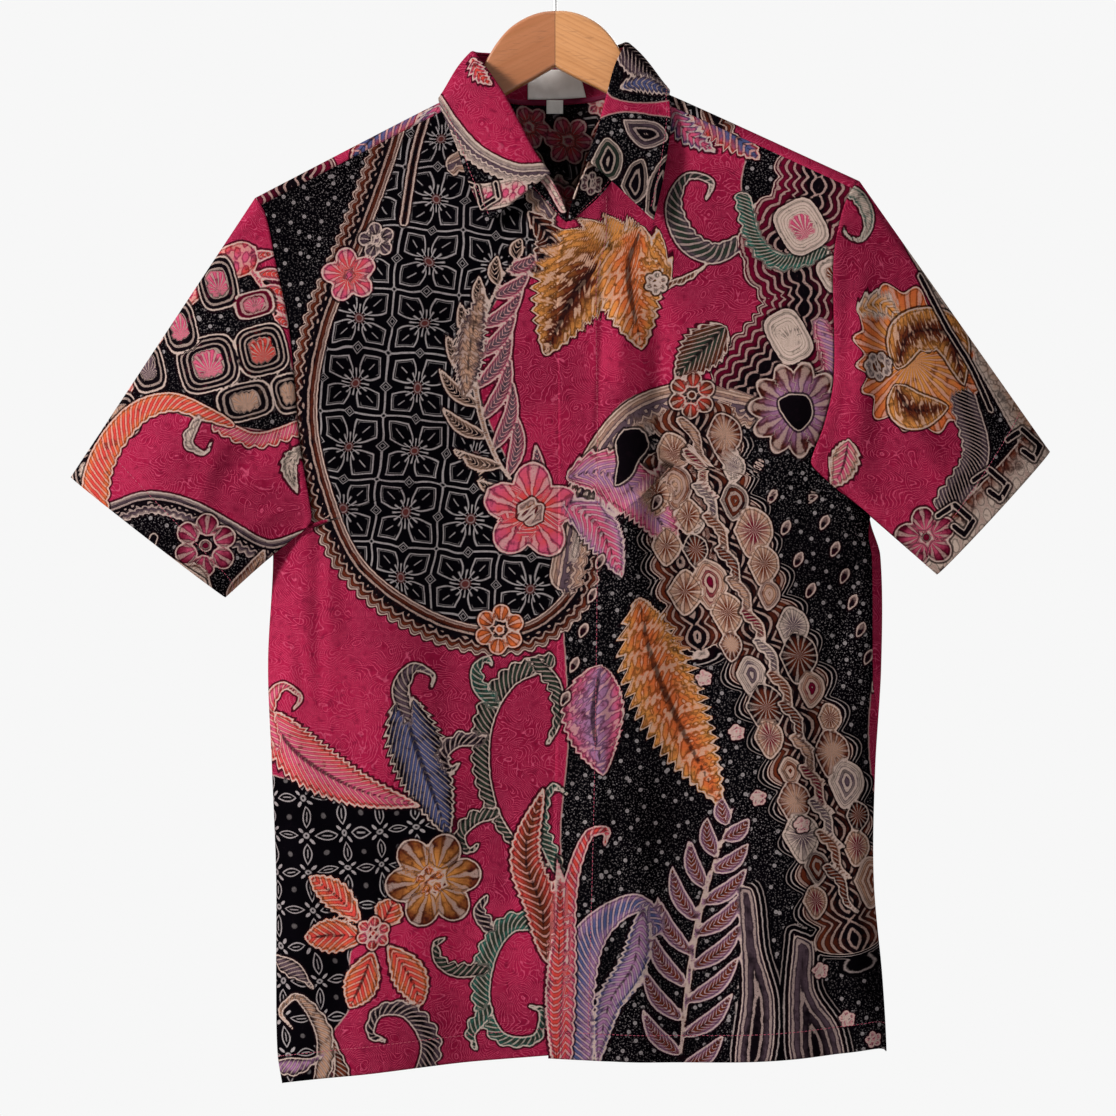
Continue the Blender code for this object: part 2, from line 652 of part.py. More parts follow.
def main():
    for old in list(bpy.data.objects):
        bpy.data.objects.remove(old, do_unlink=True)
    home = bpy.data.collections.new("batik_shirt_on_hanger")
    bpy.context.scene.collection.children.link(home)
    hanger_wood(home)
    hanger_hook(home)
    sheet("back", back_net(), "crimson_batik", home)
    sheet("front_right", front_net("right"), "crimson_batik", home, flip=True)
    sheet("front_left", front_net("left"), "black_batik", home, flip=True)
    sheet("fly_strip", fly_net(), "crimson_batik", home, flip=True)
    sheet("sleeve_right", sleeve_net("right"), "crimson_batik", home, closed=True, flip=True)
    sheet("sleeve_left", sleeve_net("left"), "crimson_batik", home, closed=True)
    sheet("collar_stand", stand_net(), "black_batik", home, wall=COLLAR_CLOTH, flip=True)
    sheet("collar_leaf", leaf_net(), "crimson_batik", home, wall=COLLAR_CLOTH)
    sheet("label", label_net(), "label_weave", home, wall=LABEL_CLOTH)
    sheet("size_tag", size_tag_net(), "label_weave", home, wall=LABEL_CLOTH)


main()
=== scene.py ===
"""The looks of a batik shirt on a wooden hanger: fine cloth on the CAD's form, its print, and the studio."""

import math

import bmesh
import bpy
import numpy as np
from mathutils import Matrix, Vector


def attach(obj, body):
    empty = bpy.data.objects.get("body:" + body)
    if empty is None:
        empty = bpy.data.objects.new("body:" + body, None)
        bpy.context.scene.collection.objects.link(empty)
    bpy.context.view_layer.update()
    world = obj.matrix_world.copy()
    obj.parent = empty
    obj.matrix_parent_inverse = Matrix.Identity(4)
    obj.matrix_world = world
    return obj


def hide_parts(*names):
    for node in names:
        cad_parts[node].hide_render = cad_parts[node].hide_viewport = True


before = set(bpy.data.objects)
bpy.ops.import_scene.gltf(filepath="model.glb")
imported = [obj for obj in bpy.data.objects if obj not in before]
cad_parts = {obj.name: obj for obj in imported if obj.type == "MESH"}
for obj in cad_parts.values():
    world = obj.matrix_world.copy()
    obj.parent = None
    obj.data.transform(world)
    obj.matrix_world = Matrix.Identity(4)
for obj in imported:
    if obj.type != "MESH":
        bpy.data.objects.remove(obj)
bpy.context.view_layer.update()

MM = 0.001
RIGHT, LEFT = "right", "left"

# ==== 1. The cloth's form, in millimetres, as in the CAD: a place is x and a drop below the shoulder ridge
CLOTH = 0.7
COLLAR_CLOTH = 1.3
FLY_PROUD = 1.3
FRONT_PROUD = 2.6
FLY_FADE = (32.0, 44.0)
FLY_WIDTH = 29.0
FLY_TOP = -232.0
UNDERLAP = 24.0
RIDGE_TOP = -99.0
RIDGE_SLOPE = 0.53
RIDGE_ROUND = 40.0
TILT = 0.0314
RIDGE_RADIUS = 10.0
SHOULDER_DEPTH = 10.5
FOLDS_FULLER = 1.45
CREASES_DEEPER = 1.7
SEAM_DROP = 9.0
NECK_POINT = 74.0
OPENING_DROP = 160.0
SWEEP = 30.0
SWEEP_AT = 215.0
SWEEP_LEFT = 0.35
SWEEP_LEVELS = (-600.0, -180.0)
NECK_BULGE = 17.0
NECK_BULGE_X, NECK_BULGE_Z, NECK_BULGE_LEVEL = 62.0, 70.0, -128.0
SIDE_GAP = 0.002
# z, right edge, left edge, half depth
BODY = (
    (-120, -262, 264, 30),
    (-200, -258, 260, 35),
    (-300, -240, 248, 38),
    (-400, -219, 237, 39),
    (-441, -213, 234, 40),
    (-470, -210, 242, 40),
    (-550, -214, 243, 41),
    (-630, -211, 238.5, 42),
    (-710, -208, 237.5, 42),
    (-785, -208, 244, 41),
    (-840, -207, 247, 40),
    (-866, -203, 246, 40),
)
# x of the top, z of the top, x of the foot, z of the foot, half width, height: the CAD's large folds
FRONT_FOLDS = (
    (-176, -440, -190, -640, 20, 5),
    (-120, -380, -132, -880, 34, 4),
    (-62, -330, -66, -880, 30, -4),
    (56, -250, 54, -560, 22, 3.5),
    (92, -330, 104, -880, 32, -4.5),
    (150, -300, 168, -880, 30, 4),
    (204, -470, 212, -880, 22, -3.5),
)
BACK_FOLDS = (
    (-150, -300, -165, -880, 32, 5),
    (-95, -260, -100, -880, 30, -4.5),
    (-30, -190, -28, -880, 30, 5),
    (40, -230, 46, -880, 32, -5),
    (110, -250, 120, -880, 34, 5),
    (176, -330, 190, -880, 28, -4),
)
# x and z of a crease's head, x and z of its foot, half width, height: finer creases, uneven
FRONT_CREASES = (
    (-205, -455, -181, -640, 5, -2.2),
    (-196, -470, -196, -600, 7, 2.4),
    (-183, -300, -150, -470, 9, 1.6),
    (-166, -430, -140, -560, 7, -1.3),
    (-120, -215, -100, -330, 12, 1.2),
    (-90, -560, -84, -780, 9, 1.3),
    (-40, -610, -34, -850, 8, -1.2),
    (30.5, -232, 31.5, -420, 2.2, -1.5),
    (46, -260, 44, -400, 8, 1.8),
    (36, -500, 34, -800, 6, 1),
    (84, -430, 78, -640, 10, 1.5),
    (120, -620, 118, -860, 9, -1.4),
    (190, -300, 150, -440, 10, 1.6),
    (222, -450, 196, -600, 7, -2),
    (178, -560, 186, -790, 8, 1.5),
    (226, -640, 226, -840, 6, 1.6),
    (-150, -700, -158, -862, 8, -1.4),
    (-188, -720, -186, -860, 6, 1.2),
    (48, -236, 50, -560, 13, 2.6),
    (74, -250, 72, -520, 7, -2.2),
    (-60, -470, -70, -700, 12, 1.8),
    (-178, -400, -168, -640, 5, -2),
    (-110, -600, -120, -860, 12, -1.6),
    (150, -480, 156, -700, 9, -1.7),
    (60, -640, 66, -860, 10, 1.7),
    (208, -360, 176, -470, 6, -1.6),
)
BACK_CREASES = (
    (-176, -330, -130, -480, 9, 1.8),
    (-120, -470, -128, -720, 8, -1.5),
    (-70, -200, -62, -420, 11, 1.4),
    (-8, -420, 4, -800, 8, 1.6),
    (78, -330, 82, -640, 9, -1.6),
    (140, -450, 150, -830, 8, 1.5),
    (190, -300, 150, -460, 9, 1.6),
    (-190, -560, -184, -820, 7, 1.3),
    (20, -600, 26, -850, 6, -1.1),
)
FRONT_ARMHOLE = {
    RIGHT: (
        (-204, -222), (-216, -214.5), (-250, -207), (-302, -196), (-384, -188.5),
        (-430, -181), (-446, -181), (-457, -193), (-470, -210),
    ),
    LEFT: (
        (-191, 226), (-200, 218.5), (-216, 212), (-251, 205.5), (-340, 205),
        (-373, 198), (-394, 190), (-403, 189), (-414, 201), (-428, 218),
        (-441, 234),
    ),
}
BACK_ARMHOLE = {
    RIGHT: ((-204, -222), (-250, -211), (-330, -203), (-420, -202), (-470, -210)),
    LEFT: ((-191, 226), (-240, 214), (-320, 209), (-400, 217), (-441, 234)),
}
RIGHT_HEM = (
    (-203, -863), (-173, -860), (-120, -854), (-80, -847.5), (-14, -837),
    (26, -834),
)
LEFT_HEM = (
    (-6, -839), (27, -842), (85, -844.5), (133, -841), (170, -837.5), (212, -835),
    (246, -838.5),
)
BACK_HEM = ((-203, -863), (-120, -851), (0, -834), (120, -832), (246, -838.5))
FRONT_EDGE = (
    (-842, -5.2), (-600, 0.5), (-390, 2.5), (-252, 1.3), (-238, 4), (-223, 9),
)
HEMS = {RIGHT: RIGHT_HEM, LEFT: LEFT_HEM}
HEM_AT_SIDE = {RIGHT: RIGHT_HEM[0], LEFT: LEFT_HEM[-1]}
LEFT_SIDE_WRAP = ((-866, 0), (-600, 0), (-560, 7), (-462, 7), (-441, 0))
# x and drop of the neck seam, then x, y, z of the stand's top edge
STAND = (
    (7.5, -122.5, 8, -35.5, -215.5),
    (-4, -110.5, 4, -35.5, -204),
    (-16, -96.5, -5, -34.5, -188),
    (-27, -82, -16.5, -31.5, -172),
    (-40, -65, -27.5, -27, -151),
    (-56, -42, -40.5, -21.5, -126.5),
    (-68, -21.2, -53.5, -16, -107),
    (-74, -9, -60.5, -4.5, -96.5),
    (-71.5, 1.5, -61.5, 6, -94),
    (-64, 5.5, -57.5, 17, -93.5),
    (-48, 14, -44, 27.5, -93),
    (-25, 26, -24, 33.5, -92.8),
    (0, 30.5, -4, 35, -92.4),
    (25, 26, 16, 33.5, -91.6),
    (48, 14, 34, 27.5, -90),
    (64, 5.5, 47.5, 17, -88),
    (71.5, 1.5, 53.5, 4, -87.5),
    (74, -9, 53, -9, -91.5),
    (68, -26.5, 46.5, -16, -106),
    (58, -51.7, 40.5, -23, -128),
    (46, -77.3, 33.5, -30, -154),
    (33, -98.8, 25, -35.5, -178),
    (20, -114.1, 16, -38.5, -199),
    (11, -122.8, 11.5, -39.5, -215.5),
)
# station of the stand, then x, y, z of the leaf's free edge
LEAF = (
    (2, -51, -40, -224),
    (3, -58.5, -36, -206),
    (4, -66, -32, -188),
    (5, -72.5, -28, -168),
    (6, -79.5, -22.5, -150),
    (7, -85, -19.5, -136),
    (8, -87, -3, -127),
    (9, -80, 20, -127),
    (10, -58, 36, -131),
    (11, -29, 42.5, -135),
    (12, -2, 44, -136),
    (13, 24, 42.5, -134.5),
    (14, 51, 36, -129.5),
    (15, 74, 20, -123),
    (16, 85, -3, -120.5),
    (17, 85, -19.5, -130),
    (18, 86, -23, -148),
    (19, 83.5, -30, -170),
    (20, 79.5, -36, -194),
    (21, 73, -42, -221.5),
)
ROLL = ((-1.3, 0.2), (-1.3, 1.6), (-0.4, 2.6), (1, 2.7), (2.2, 1.6))
# x, z of the upper fold, x, z of the lower fold, middle y, half depth, fullness
SLEEVE = {
    RIGHT: (-360, -411, -245, -500.5, -21, 24, 5),
    LEFT: (368, -392, 284, -483.5, -19, 30, 6),
}
SEAM_SHARE = 0.034
ARMHOLE_ROUNDS = 40


def smooth(edge_a, edge_b, value):
    t = np.clip((value - edge_a) / (edge_b - edge_a), 0.0, 1.0)
    return t * t * (3 - 2 * t)


def along(rows, at, column=1):
    """A smooth curve through a table's rows, read at values of their first column."""
    table = np.array(rows, float)
    table = table[table[:, 0].argsort()]
    xs, ys = table[:, 0], table[:, column]
    at = np.clip(at, xs[0], xs[-1])
    low = np.clip(np.searchsorted(xs, at, side="right") - 1, 0, len(xs) - 2)
    high = low + 1
    before, after = np.maximum(low - 1, 0), np.minimum(low + 2, len(xs) - 1)
    span = xs[high] - xs[low]
    t = (at - xs[low]) / span
    slope_low = (ys[high] - ys[before]) / (xs[high] - xs[before]) * span
    slope_high = (ys[after] - ys[low]) / (xs[after] - xs[low]) * span
    return (
        (2 * t**3 - 3 * t**2 + 1) * ys[low]
        + (t**3 - 2 * t**2 + t) * slope_low
        + (3 * t**2 - 2 * t**3) * ys[high]
        + (t**3 - t**2) * slope_high
    )


def ridge_z(x):
    return RIDGE_TOP - RIDGE_SLOPE * (np.hypot(x, RIDGE_ROUND) - RIDGE_ROUND) + x * TILT


def envelope(z):
    right, left, depth = (along(BODY, z, column) for column in (1, 2, 3))
    return (left + right) / 2, (left - right) / 2, depth


def sweep_y(x, z):
    share = SWEEP_LEFT + (1 - SWEEP_LEFT) * smooth(*SWEEP_LEVELS, z)
    return -SWEEP * (x / SWEEP_AT) ** 2 * share


def fold_height(folds, x, z):
    total = 0.0
    for x_top, z_top, x_foot, z_foot, half_width, height in folds:
        t = np.maximum((z_top - z) / (z_top - z_foot), 0.0)
        middle = x_top + (x_foot - x_top) * t
        total = total + height * smooth(0.0, 0.35, t) * np.exp(-(((x - middle) / half_width) ** 2))
    return total


def crease_height(creases, x, z):
    """Short soft ridges and troughs, faded at both ends and bent a little."""
    total = 0.0
    for k, (x0, z0, x1, z1, half_width, height) in enumerate(creases):
        length = math.hypot(x1 - x0, z1 - z0)
        dx, dz = (x1 - x0) / length, (z1 - z0) / length
        run = (x - x0) * dx + (z - z0) * dz
        bend = 4.0 * np.sin(run / length * math.pi + k)
        off = (x - x0) * dz - (z - z0) * dx + bend
        fade = smooth(-0.05, 0.3, run / length) * smooth(1.1, 0.6, run / length)
        wide = half_width * (1 + 0.5 * run / length)
        total = total + height * fade * np.exp(-((off / wide) ** 2))
    return total


def half_depth(x, z, folds, creases):
    middle, half_width, depth = envelope(z)
    s = np.minimum(1.0, np.abs((x - middle) / half_width))
    drop = np.maximum(0.0, ridge_z(x) - z)
    over_ridge = np.sqrt(1 - (1 - np.minimum(drop / RIDGE_RADIUS, 1.0)) ** 2)
    opened = smooth(0.0, OPENING_DROP, drop) * np.sqrt(1 - s**4)
    held = SHOULDER_DEPTH * over_ridge * np.sqrt(1 - s**16)
    fine = crease_height(creases, x, z) * smooth(10.0, 60.0, drop) * np.sqrt(1 - s**6)
    folded = FOLDS_FULLER * fold_height(folds, x, z)
    return held + (depth - SHOULDER_DEPTH + folded) * opened + fine * CREASES_DEEPER


def front_y(x, z):
    return sweep_y(x, z) - half_depth(x, z, FRONT_FOLDS, FRONT_CREASES)


def back_y(x, z):
    bulge = np.exp(-((x / NECK_BULGE_X) ** 2) - ((z - NECK_BULGE_LEVEL) / NECK_BULGE_Z) ** 2)
    return sweep_y(x, z) + half_depth(x, z, BACK_FOLDS, BACK_CREASES) + NECK_BULGE * bulge


def fly_lift(x, lift):
    return lift * (1 - smooth(*FLY_FADE, x))


def side_angle(x, z):
    middle, half_width, _ = envelope(z)
    return np.arcsin(np.clip((x - middle) / half_width, -1.0, 1.0)) * 2 / math.pi


def at_angle(q, z, on_back):
    """The body's points (..., 3) at side angles; past the side edge they are on the other face."""
    middle, half_width, _ = envelope(z)
    x = middle + half_width * np.sin(q * math.pi / 2)
    over = np.abs(q) > 1
    y = np.where(over != on_back, back_y(x, z), front_y(x, z))
    return np.stack([x, y, z], axis=-1)


def armhole_place(armhole, share):
    under_z, under_x = armhole[-1]
    drop = share * (ridge_z(under_x) - under_z)
    x = np.full_like(np.asarray(share, float), armhole[0][1])
    for _ in range(ARMHOLE_ROUNDS):
        z = ridge_z(x) - drop
        x = along(armhole, z)
    return x, z


def outer_edge(side, on_back, start_share, step):
    """A panel's outer edge, from its top through the underarm to the hem: side angles and levels."""
    armhole = (BACK_ARMHOLE if on_back else FRONT_ARMHOLE)[side]
    under_z = armhole[-1][0]
    foot_z = HEM_AT_SIDE[side][1]
    count = int(abs(under_z - armhole[0][0]) / step)
    x, z = armhole_place(armhole, np.linspace(start_share, 1.0, count))
    q = np.clip(side_angle(x, z), SIDE_GAP - 1, 1 - SIDE_GAP)
    low_z = np.linspace(under_z, foot_z, int(abs(foot_z - under_z) / step))[1:]
    if side == RIGHT:
        low_q = np.full_like(low_z, SIDE_GAP - 1)
    else:
        edge = along(BODY, low_z, 2)
        wrap = 1 - side_angle(edge - along(LEFT_SIDE_WRAP, low_z), low_z)
        low_q = 1 + (wrap if on_back else -wrap) - SIDE_GAP
    return np.concatenate([q, low_q]), np.concatenate([z, low_z])


# ==== 2. Nets of points for each piece, in millimetres: arrays of (rows, columns, 3)
PANEL_STEP = 2.0
BACK_STEP = 2.6
BACK_ROWS = 261
CAP_ROWS = 16
CAP_DROP = 24.0  # the back's net goes over the shoulder down to here
CAP_SPREAD = 200.0
NECK_START = 9.5  # x of the left front's corner at the neck
HEM_START = 12.0
UNDERLAP_DROP = -127.0
STAND_RIGHT, STAND_BACK, STAND_LEFT = slice(0, 8), slice(7, 18), slice(17, None)  # rows of STAND
STAND_OVERLAP_FROM = 12  # the row of STAND past which it stands on the upper front
STAND_SIZE = (24, 220)  # rows and columns of a net, here and below
LEAF_SIZE = (34, 260)
LEAF_BULGE = 3.0
FLY_SIZE = (260, 12)
STATION_STEPS = 24
ARMHOLE_SAMPLES = 400
ARMHOLE_CROWDING = 1.15  # above one, samples crowd at the shoulder
SLEEVE_ROWS, SLEEVE_HALF_RING = 100, 96
# the lift at the shoulder, how much more at the underarm, and the places between which it grows
SLEEVE_SEAM_LIFT = (0.3, 1.6, 0.5, 0.82)
SLEEVE_HEAD = (1.3, 0.03)  # height and width of the rise beside the seam


def neck_drop(side, x):
    rows = STAND[STAND_RIGHT if side == RIGHT else STAND_LEFT]
    table = [row[:2] for row in rows] + ([(UNDERLAP, UNDERLAP_DROP)] if side == RIGHT else [])
    return along(table, x)


def front_net(side):
    sign = 1.0 if side == LEFT else -1.0
    lift = FRONT_PROUD if side == LEFT else 0.0
    hem = HEMS[side]
    armhole = FRONT_ARMHOLE[side]
    tip_x, _ = armhole_place(armhole, SEAM_SHARE)
    inner = NECK_START if side == LEFT else UNDERLAP
    x = np.linspace(inner, float(tip_x), int(abs(tip_x - inner) / PANEL_STEP) + 1)
    drop = np.where(sign * x < NECK_POINT, neck_drop(side, x), -SEAM_DROP)
    start_z = ridge_z(x) - np.abs(drop)
    angles = side_angle(x, start_z)
    shares = (angles - angles[0]) / (angles[-1] - angles[0])
    q_out, z_out = outer_edge(side, False, SEAM_SHARE, PANEL_STEP)
    v = (z_out[0] - z_out) / (z_out[0] - z_out[-1])
    inner_foot = hem[0][1] if side == LEFT else hem[-1][1]
    z_in = start_z[0] + (inner_foot - start_z[0]) * v
    x_in = along(FRONT_EDGE, z_in) if side == LEFT else np.full_like(z_in, UNDERLAP)
    q_in = side_angle(x_in, z_in)
    q = q_in[:, None] + (q_out - q_in)[:, None] * shares[None, :]
    foot_x = sign * HEM_START + (HEM_AT_SIDE[side][0] - sign * HEM_START) * shares
    z = start_z[None, :] + (along(hem, foot_x) - start_z)[None, :] * v[:, None]
    net = at_angle(q, z, False)
    net[..., 1] -= fly_lift(net[..., 0], lift)
    return net if side == LEFT else net[:, ::-1]


def back_net():
    cap = np.linspace(-SEAM_DROP, CAP_DROP, CAP_ROWS)
    ends = {}
    for side in (RIGHT, LEFT):
        places = []
        for drop in cap:
            armhole = (FRONT_ARMHOLE if drop < 0 else BACK_ARMHOLE)[side]
            under_z, under_x = armhole[-1]
            places.append(float(armhole_place(armhole, abs(drop) / (ridge_z(under_x) - under_z))[0]))
        ends[side] = np.array(places)
    low, high = ends[RIGHT][0], ends[LEFT][0]
    x = np.linspace(low, high, int((high - low) / BACK_STEP) + 1)
    neck = along([row[:2] for row in STAND[STAND_BACK]], x)
    top = np.where(np.abs(x) < NECK_POINT, neck, -SEAM_DROP)
    span = np.where(x < 0, ends[RIGHT][:, None] / low, ends[LEFT][:, None] / high)
    wide = x[None, :] * (1 + (span - 1) * smooth(NECK_POINT, CAP_SPREAD, np.abs(x))[None, :])
    fall = top[None, :] + cap[:, None] + SEAM_DROP
    z = ridge_z(wide) - np.abs(fall)
    y = np.where(fall > 0, back_y(wide, z), front_y(wide, z))
    cap_rows = np.stack([wide, y, z], axis=-1)
    start = cap_rows[-1]
    angles = side_angle(start[:, 0], start[:, 2])
    shares = (angles - angles[0]) / (angles[-1] - angles[0])
    rows = {}
    for side, corner in ((RIGHT, start[0]), (LEFT, start[-1])):
        armhole = BACK_ARMHOLE[side]
        under_z, under_x = armhole[-1]
        share = (ridge_z(corner[0]) - corner[2]) / (ridge_z(under_x) - under_z)
        q, z_edge = outer_edge(side, True, share, BACK_STEP)
        at = np.linspace(0.0, 1.0, BACK_ROWS + 1)[1:]
        v = (z_edge[0] - z_edge) / (z_edge[0] - z_edge[-1])
        rows[side] = np.interp(at, v, q)
    q = rows[RIGHT][:, None] + (rows[LEFT] - rows[RIGHT])[:, None] * shares[None, :]
    low, high = HEM_AT_SIDE[RIGHT][0], HEM_AT_SIDE[LEFT][0]
    foot_x = low + (high - low) * shares
    z = start[None, :, 2] + (along(BACK_HEM, foot_x) - start[:, 2])[None, :] * at[:, None]
    return np.concatenate([cap_rows, at_angle(q, z, True)])


def sleeve_net(side):
    """Rings from the armhole to the hem, each from the upper fold down the front and up the back."""
    top_x, top_z, foot_x, foot_z, middle_y, depth, fullness = SLEEVE[side]
    lift, more_lift, *lift_at = SLEEVE_SEAM_LIFT
    head_height, head_width = SLEEVE_HEAD
    shares = np.linspace(0.0, 1.0, ARMHOLE_SAMPLES) ** ARMHOLE_CROWDING
    seams, hems, outs = [], [], []
    for armholes, surface, face in ((FRONT_ARMHOLE, front_y, -1.0), (BACK_ARMHOLE, back_y, 1.0)):
        x, z = armhole_place(armholes[side], shares)
        reach = np.concatenate([[0.0], np.cumsum(np.hypot(np.diff(x), np.diff(z)))])
        even = np.linspace(0.0, reach[-1], SLEEVE_HALF_RING)
        x, z = np.interp(even, reach, x), np.interp(even, reach, z)
        down = even / reach[-1]
        angle = math.pi * down
        share = (1 - np.cos(angle)) / 2
        hem = np.stack([
            top_x + (foot_x - top_x) * share,
            middle_y + face * depth * np.sin(angle),
            top_z + (foot_z - top_z) * share,
        ], axis=-1)
        seam = np.stack([x, surface(x, z), z], axis=-1)
        if face < 0:
            slope = surface(x + 0.5, z) - surface(x - 0.5, z)
            out = np.stack([slope, -np.ones_like(x), np.zeros_like(x)], axis=-1)
            out /= np.linalg.norm(out, axis=1, keepdims=True)
            seam = seam + out * (lift + more_lift * smooth(*lift_at, down))[:, None]
        out = face * np.sin(angle)
        keep = slice(None) if face < 0 else slice(-2, 0, -1)
        seams.append(seam[keep])
        hems.append(hem[keep])
        outs.append(out[keep])
    seam, hem, out = (np.concatenate(parts) for parts in (seams, hems, outs))
    w = np.linspace(0.0, 1.0, SLEEVE_ROWS)[:, None, None]
    net = seam[None] * (1 - w) + hem[None] * w
    run = w[..., 0]
    net[..., 1] += out[None] * fullness * np.sin(math.pi * run)
    net[..., 1] += out[None] * head_height * np.exp(-(((run - head_width) / head_width) ** 2))
    net[..., 1] += sleeve_creases(side, net, out[None])
    return net


# x, z of a crease's head, x, z of its foot, half width, height
SLEEVE_CREASES_DEEPER = 1.35
SLEEVE_CREASES = {
    RIGHT: (
        (-222, -225, -290, -330, 7, 1.8),
        (-206, -290, -300, -420, 11, 3),
        (-196, -360, -262, -440, 9, -2.4),
        (-186, -430, -250, -470, 6, 1.8),
        (-262, -300, -330, -410, 9, -1.8),
        (-240, -380, -280, -470, 7, 1.6),
    ),
    LEFT: (
        (228, -206, 276, -262, 6, -2.6),
        (222, -240, 224, -420, 9, 3.2),
        (238, -250, 246, -440, 9, -2.6),
        (250, -280, 318, -380, 10, 2),
        (222, -400, 290, -455, 8, -2.2),
        (262, -360, 300, -460, 8, 1.8),
    ),
}


def sleeve_creases(side, net, out):
    height = crease_height(SLEEVE_CREASES[side], net[..., 0], net[..., 2])
    return out * height * SLEEVE_CREASES_DEEPER


def stations(count):
    """The stand's seam and top edges, evenly read."""
    at = np.linspace(0.0, len(STAND) - 1.0, count)
    numbered = [(float(k), *row) for k, row in enumerate(STAND)]
    x, drop, top_x, top_y, top_z = (along(numbered, at, column) for column in range(1, 6))
    z = ridge_z(x) - np.abs(drop)
    lift = np.where(at > STAND_OVERLAP_FROM, FRONT_PROUD, 0.0)
    y = np.where(drop > 0, back_y(x, z), front_y(x, z) - fly_lift(x, lift))
    return at, np.stack([x, y, z], axis=-1), np.stack([top_x, top_y, top_z], axis=-1)


def stand_lines(places, count):
    """The stand's seam and top edges at some of its stations."""
    at, *lines = stations(count)
    return [np.stack([np.interp(places, at, line[:, axis]) for axis in range(3)], axis=-1)
            for line in lines]


def stand_net():
    rows, columns = STAND_SIZE
    _, seam, top = stations(columns)
    h = np.linspace(0.0, 1.0, rows)[:, None, None]
    return seam[None] * (1 - h) + top[None] * h


def leaf_net():
    rows, columns = LEAF_SIZE
    at = np.linspace(LEAF[0][0], LEAF[-1][0], columns)
    seam, top = stand_lines(at, STATION_STEPS * 8 + 1)
    run = np.gradient(top, axis=0)
    run /= np.linalg.norm(run, axis=1, keepdims=True)
    rise = top - seam
    up = rise - run * (rise * run).sum(axis=1, keepdims=True)
    up /= np.linalg.norm(up, axis=1, keepdims=True)
    out = np.cross(up, run)
    edge = np.stack([along(LEAF, at, axis) for axis in (1, 2, 3)], axis=-1)
    roll = [top + out * across + up * above for across, above in ROLL]
    fold = roll[-1]
    t = np.linspace(0.0, 1.0, rows)[1:, None, None]
    fall = fold[None] * (1 - t) + edge[None] * t + out[None] * LEAF_BULGE * np.sin(math.pi * t) * (1 - t)
    return np.concatenate([np.stack(roll), fall])


def fly_net():
    rows, columns = FLY_SIZE
    z = np.linspace(FLY_TOP, LEFT_HEM[0][1] + 1.5, rows)
    edge = along(FRONT_EDGE, z) - 1.5 * smooth(-560.0, -700.0, z) + 0.5
    x = edge[:, None] + np.linspace(0.0, FLY_WIDTH - 1.0, columns)[None, :]
    z = np.broadcast_to(z[:, None], x.shape)
    return np.stack([x, front_y(x, z) - FLY_PROUD, z], axis=-1)


# ==== 3. The print: motifs drawn afresh, in millimetres of the garment's front view (x, z)
CREAM, GOLD, ORANGE, BROWN, CORAL = "cream", "gold", "orange", "brown", "coral"
PINK, LILAC, BLUE, TEAL, BEIGE, INK, MAROON, GREY, OLIVE = (
    "pink", "lilac", "blue", "teal", "beige", "ink", "maroon", "grey", "olive",
)
# Red, green and blue as the eye sees them
DYES = {
    CREAM: (0.88, 0.78, 0.72),
    GOLD: (0.94, 0.62, 0.32),
    ORANGE: (0.92, 0.46, 0.25),
    BROWN: (0.44, 0.20, 0.13),
    CORAL: (0.90, 0.30, 0.27),
    PINK: (0.88, 0.36, 0.50),
    LILAC: (0.70, 0.50, 0.66),
    BLUE: (0.34, 0.37, 0.55),
    TEAL: (0.25, 0.50, 0.44),
    BEIGE: (0.80, 0.62, 0.52),
    INK: (0.06, 0.04, 0.06),
    MAROON: (0.46, 0.06, 0.18),
    GREY: (0.40, 0.32, 0.36),
    OLIVE: (0.20, 0.24, 0.20),
}


NO_MOTIF = -50.0  # the signed distance where nothing is near, in mm


def linear(dye):
    """The light a dye sends back, from its colour as the eye sees it."""
    value = np.array(DYES[dye])
    return np.where(value <= 0.04045, value / 12.92, ((value + 0.055) / 1.055) ** 2.4)


def curve_points(points, count=160):
    """A smooth path through a few points, with the reach along it."""
    points = np.array(points, float)
    reach = np.concatenate([[0.0], np.cumsum(np.linalg.norm(np.diff(points, axis=0), axis=1))])
    at = np.linspace(0.0, reach[-1], count)
    if len(points) == 2:
        path = np.stack([np.interp(at, reach, points[:, k]) for k in (0, 1)], axis=-1)
    else:
        columns = (np.column_stack([reach, points[:, k]]) for k in (0, 1))
        path = np.stack([along(rows, at) for rows in columns], axis=-1)
    return path, at, reach[-1]


def inside_of(x, z, ring):
    """Signed distance to a closed ring of points, positive inside."""
    path = curve_points([*ring, ring[0]])[0]
    best = np.full(x.size, 1e9)
    crossed = np.zeros(x.size, bool)
    for (x0, z0), (x1, z1) in zip(path, path[1:]):
        length = max((x1 - x0) ** 2 + (z1 - z0) ** 2, 1e-6)
        t = np.clip(((x - x0) * (x1 - x0) + (z - z0) * (z1 - z0)) / length, 0.0, 1.0)
        best = np.minimum(best, np.hypot(x - x0 - t * (x1 - x0), z - z0 - t * (z1 - z0)))
        spans = (z0 > z) != (z1 > z)
        if z1 != z0:
            crossed ^= spans & (x < (x1 - x0) * (z - z0) / (z1 - z0) + x0)
    return np.where(crossed, best, -best)


def lens_cells(across, down):
    """A phase that is whole between staggered lens-shaped cells and a half in their hearts."""
    row = np.floor(across)
    u, v = across - row - 0.5, (down + 0.5 * (row % 2)) % 1.0 - 0.5
    return 0.5 * np.clip(1.25 - np.sqrt((u / 0.5) ** 2 + (v / 0.5) ** 2), 0.0, 1.0)


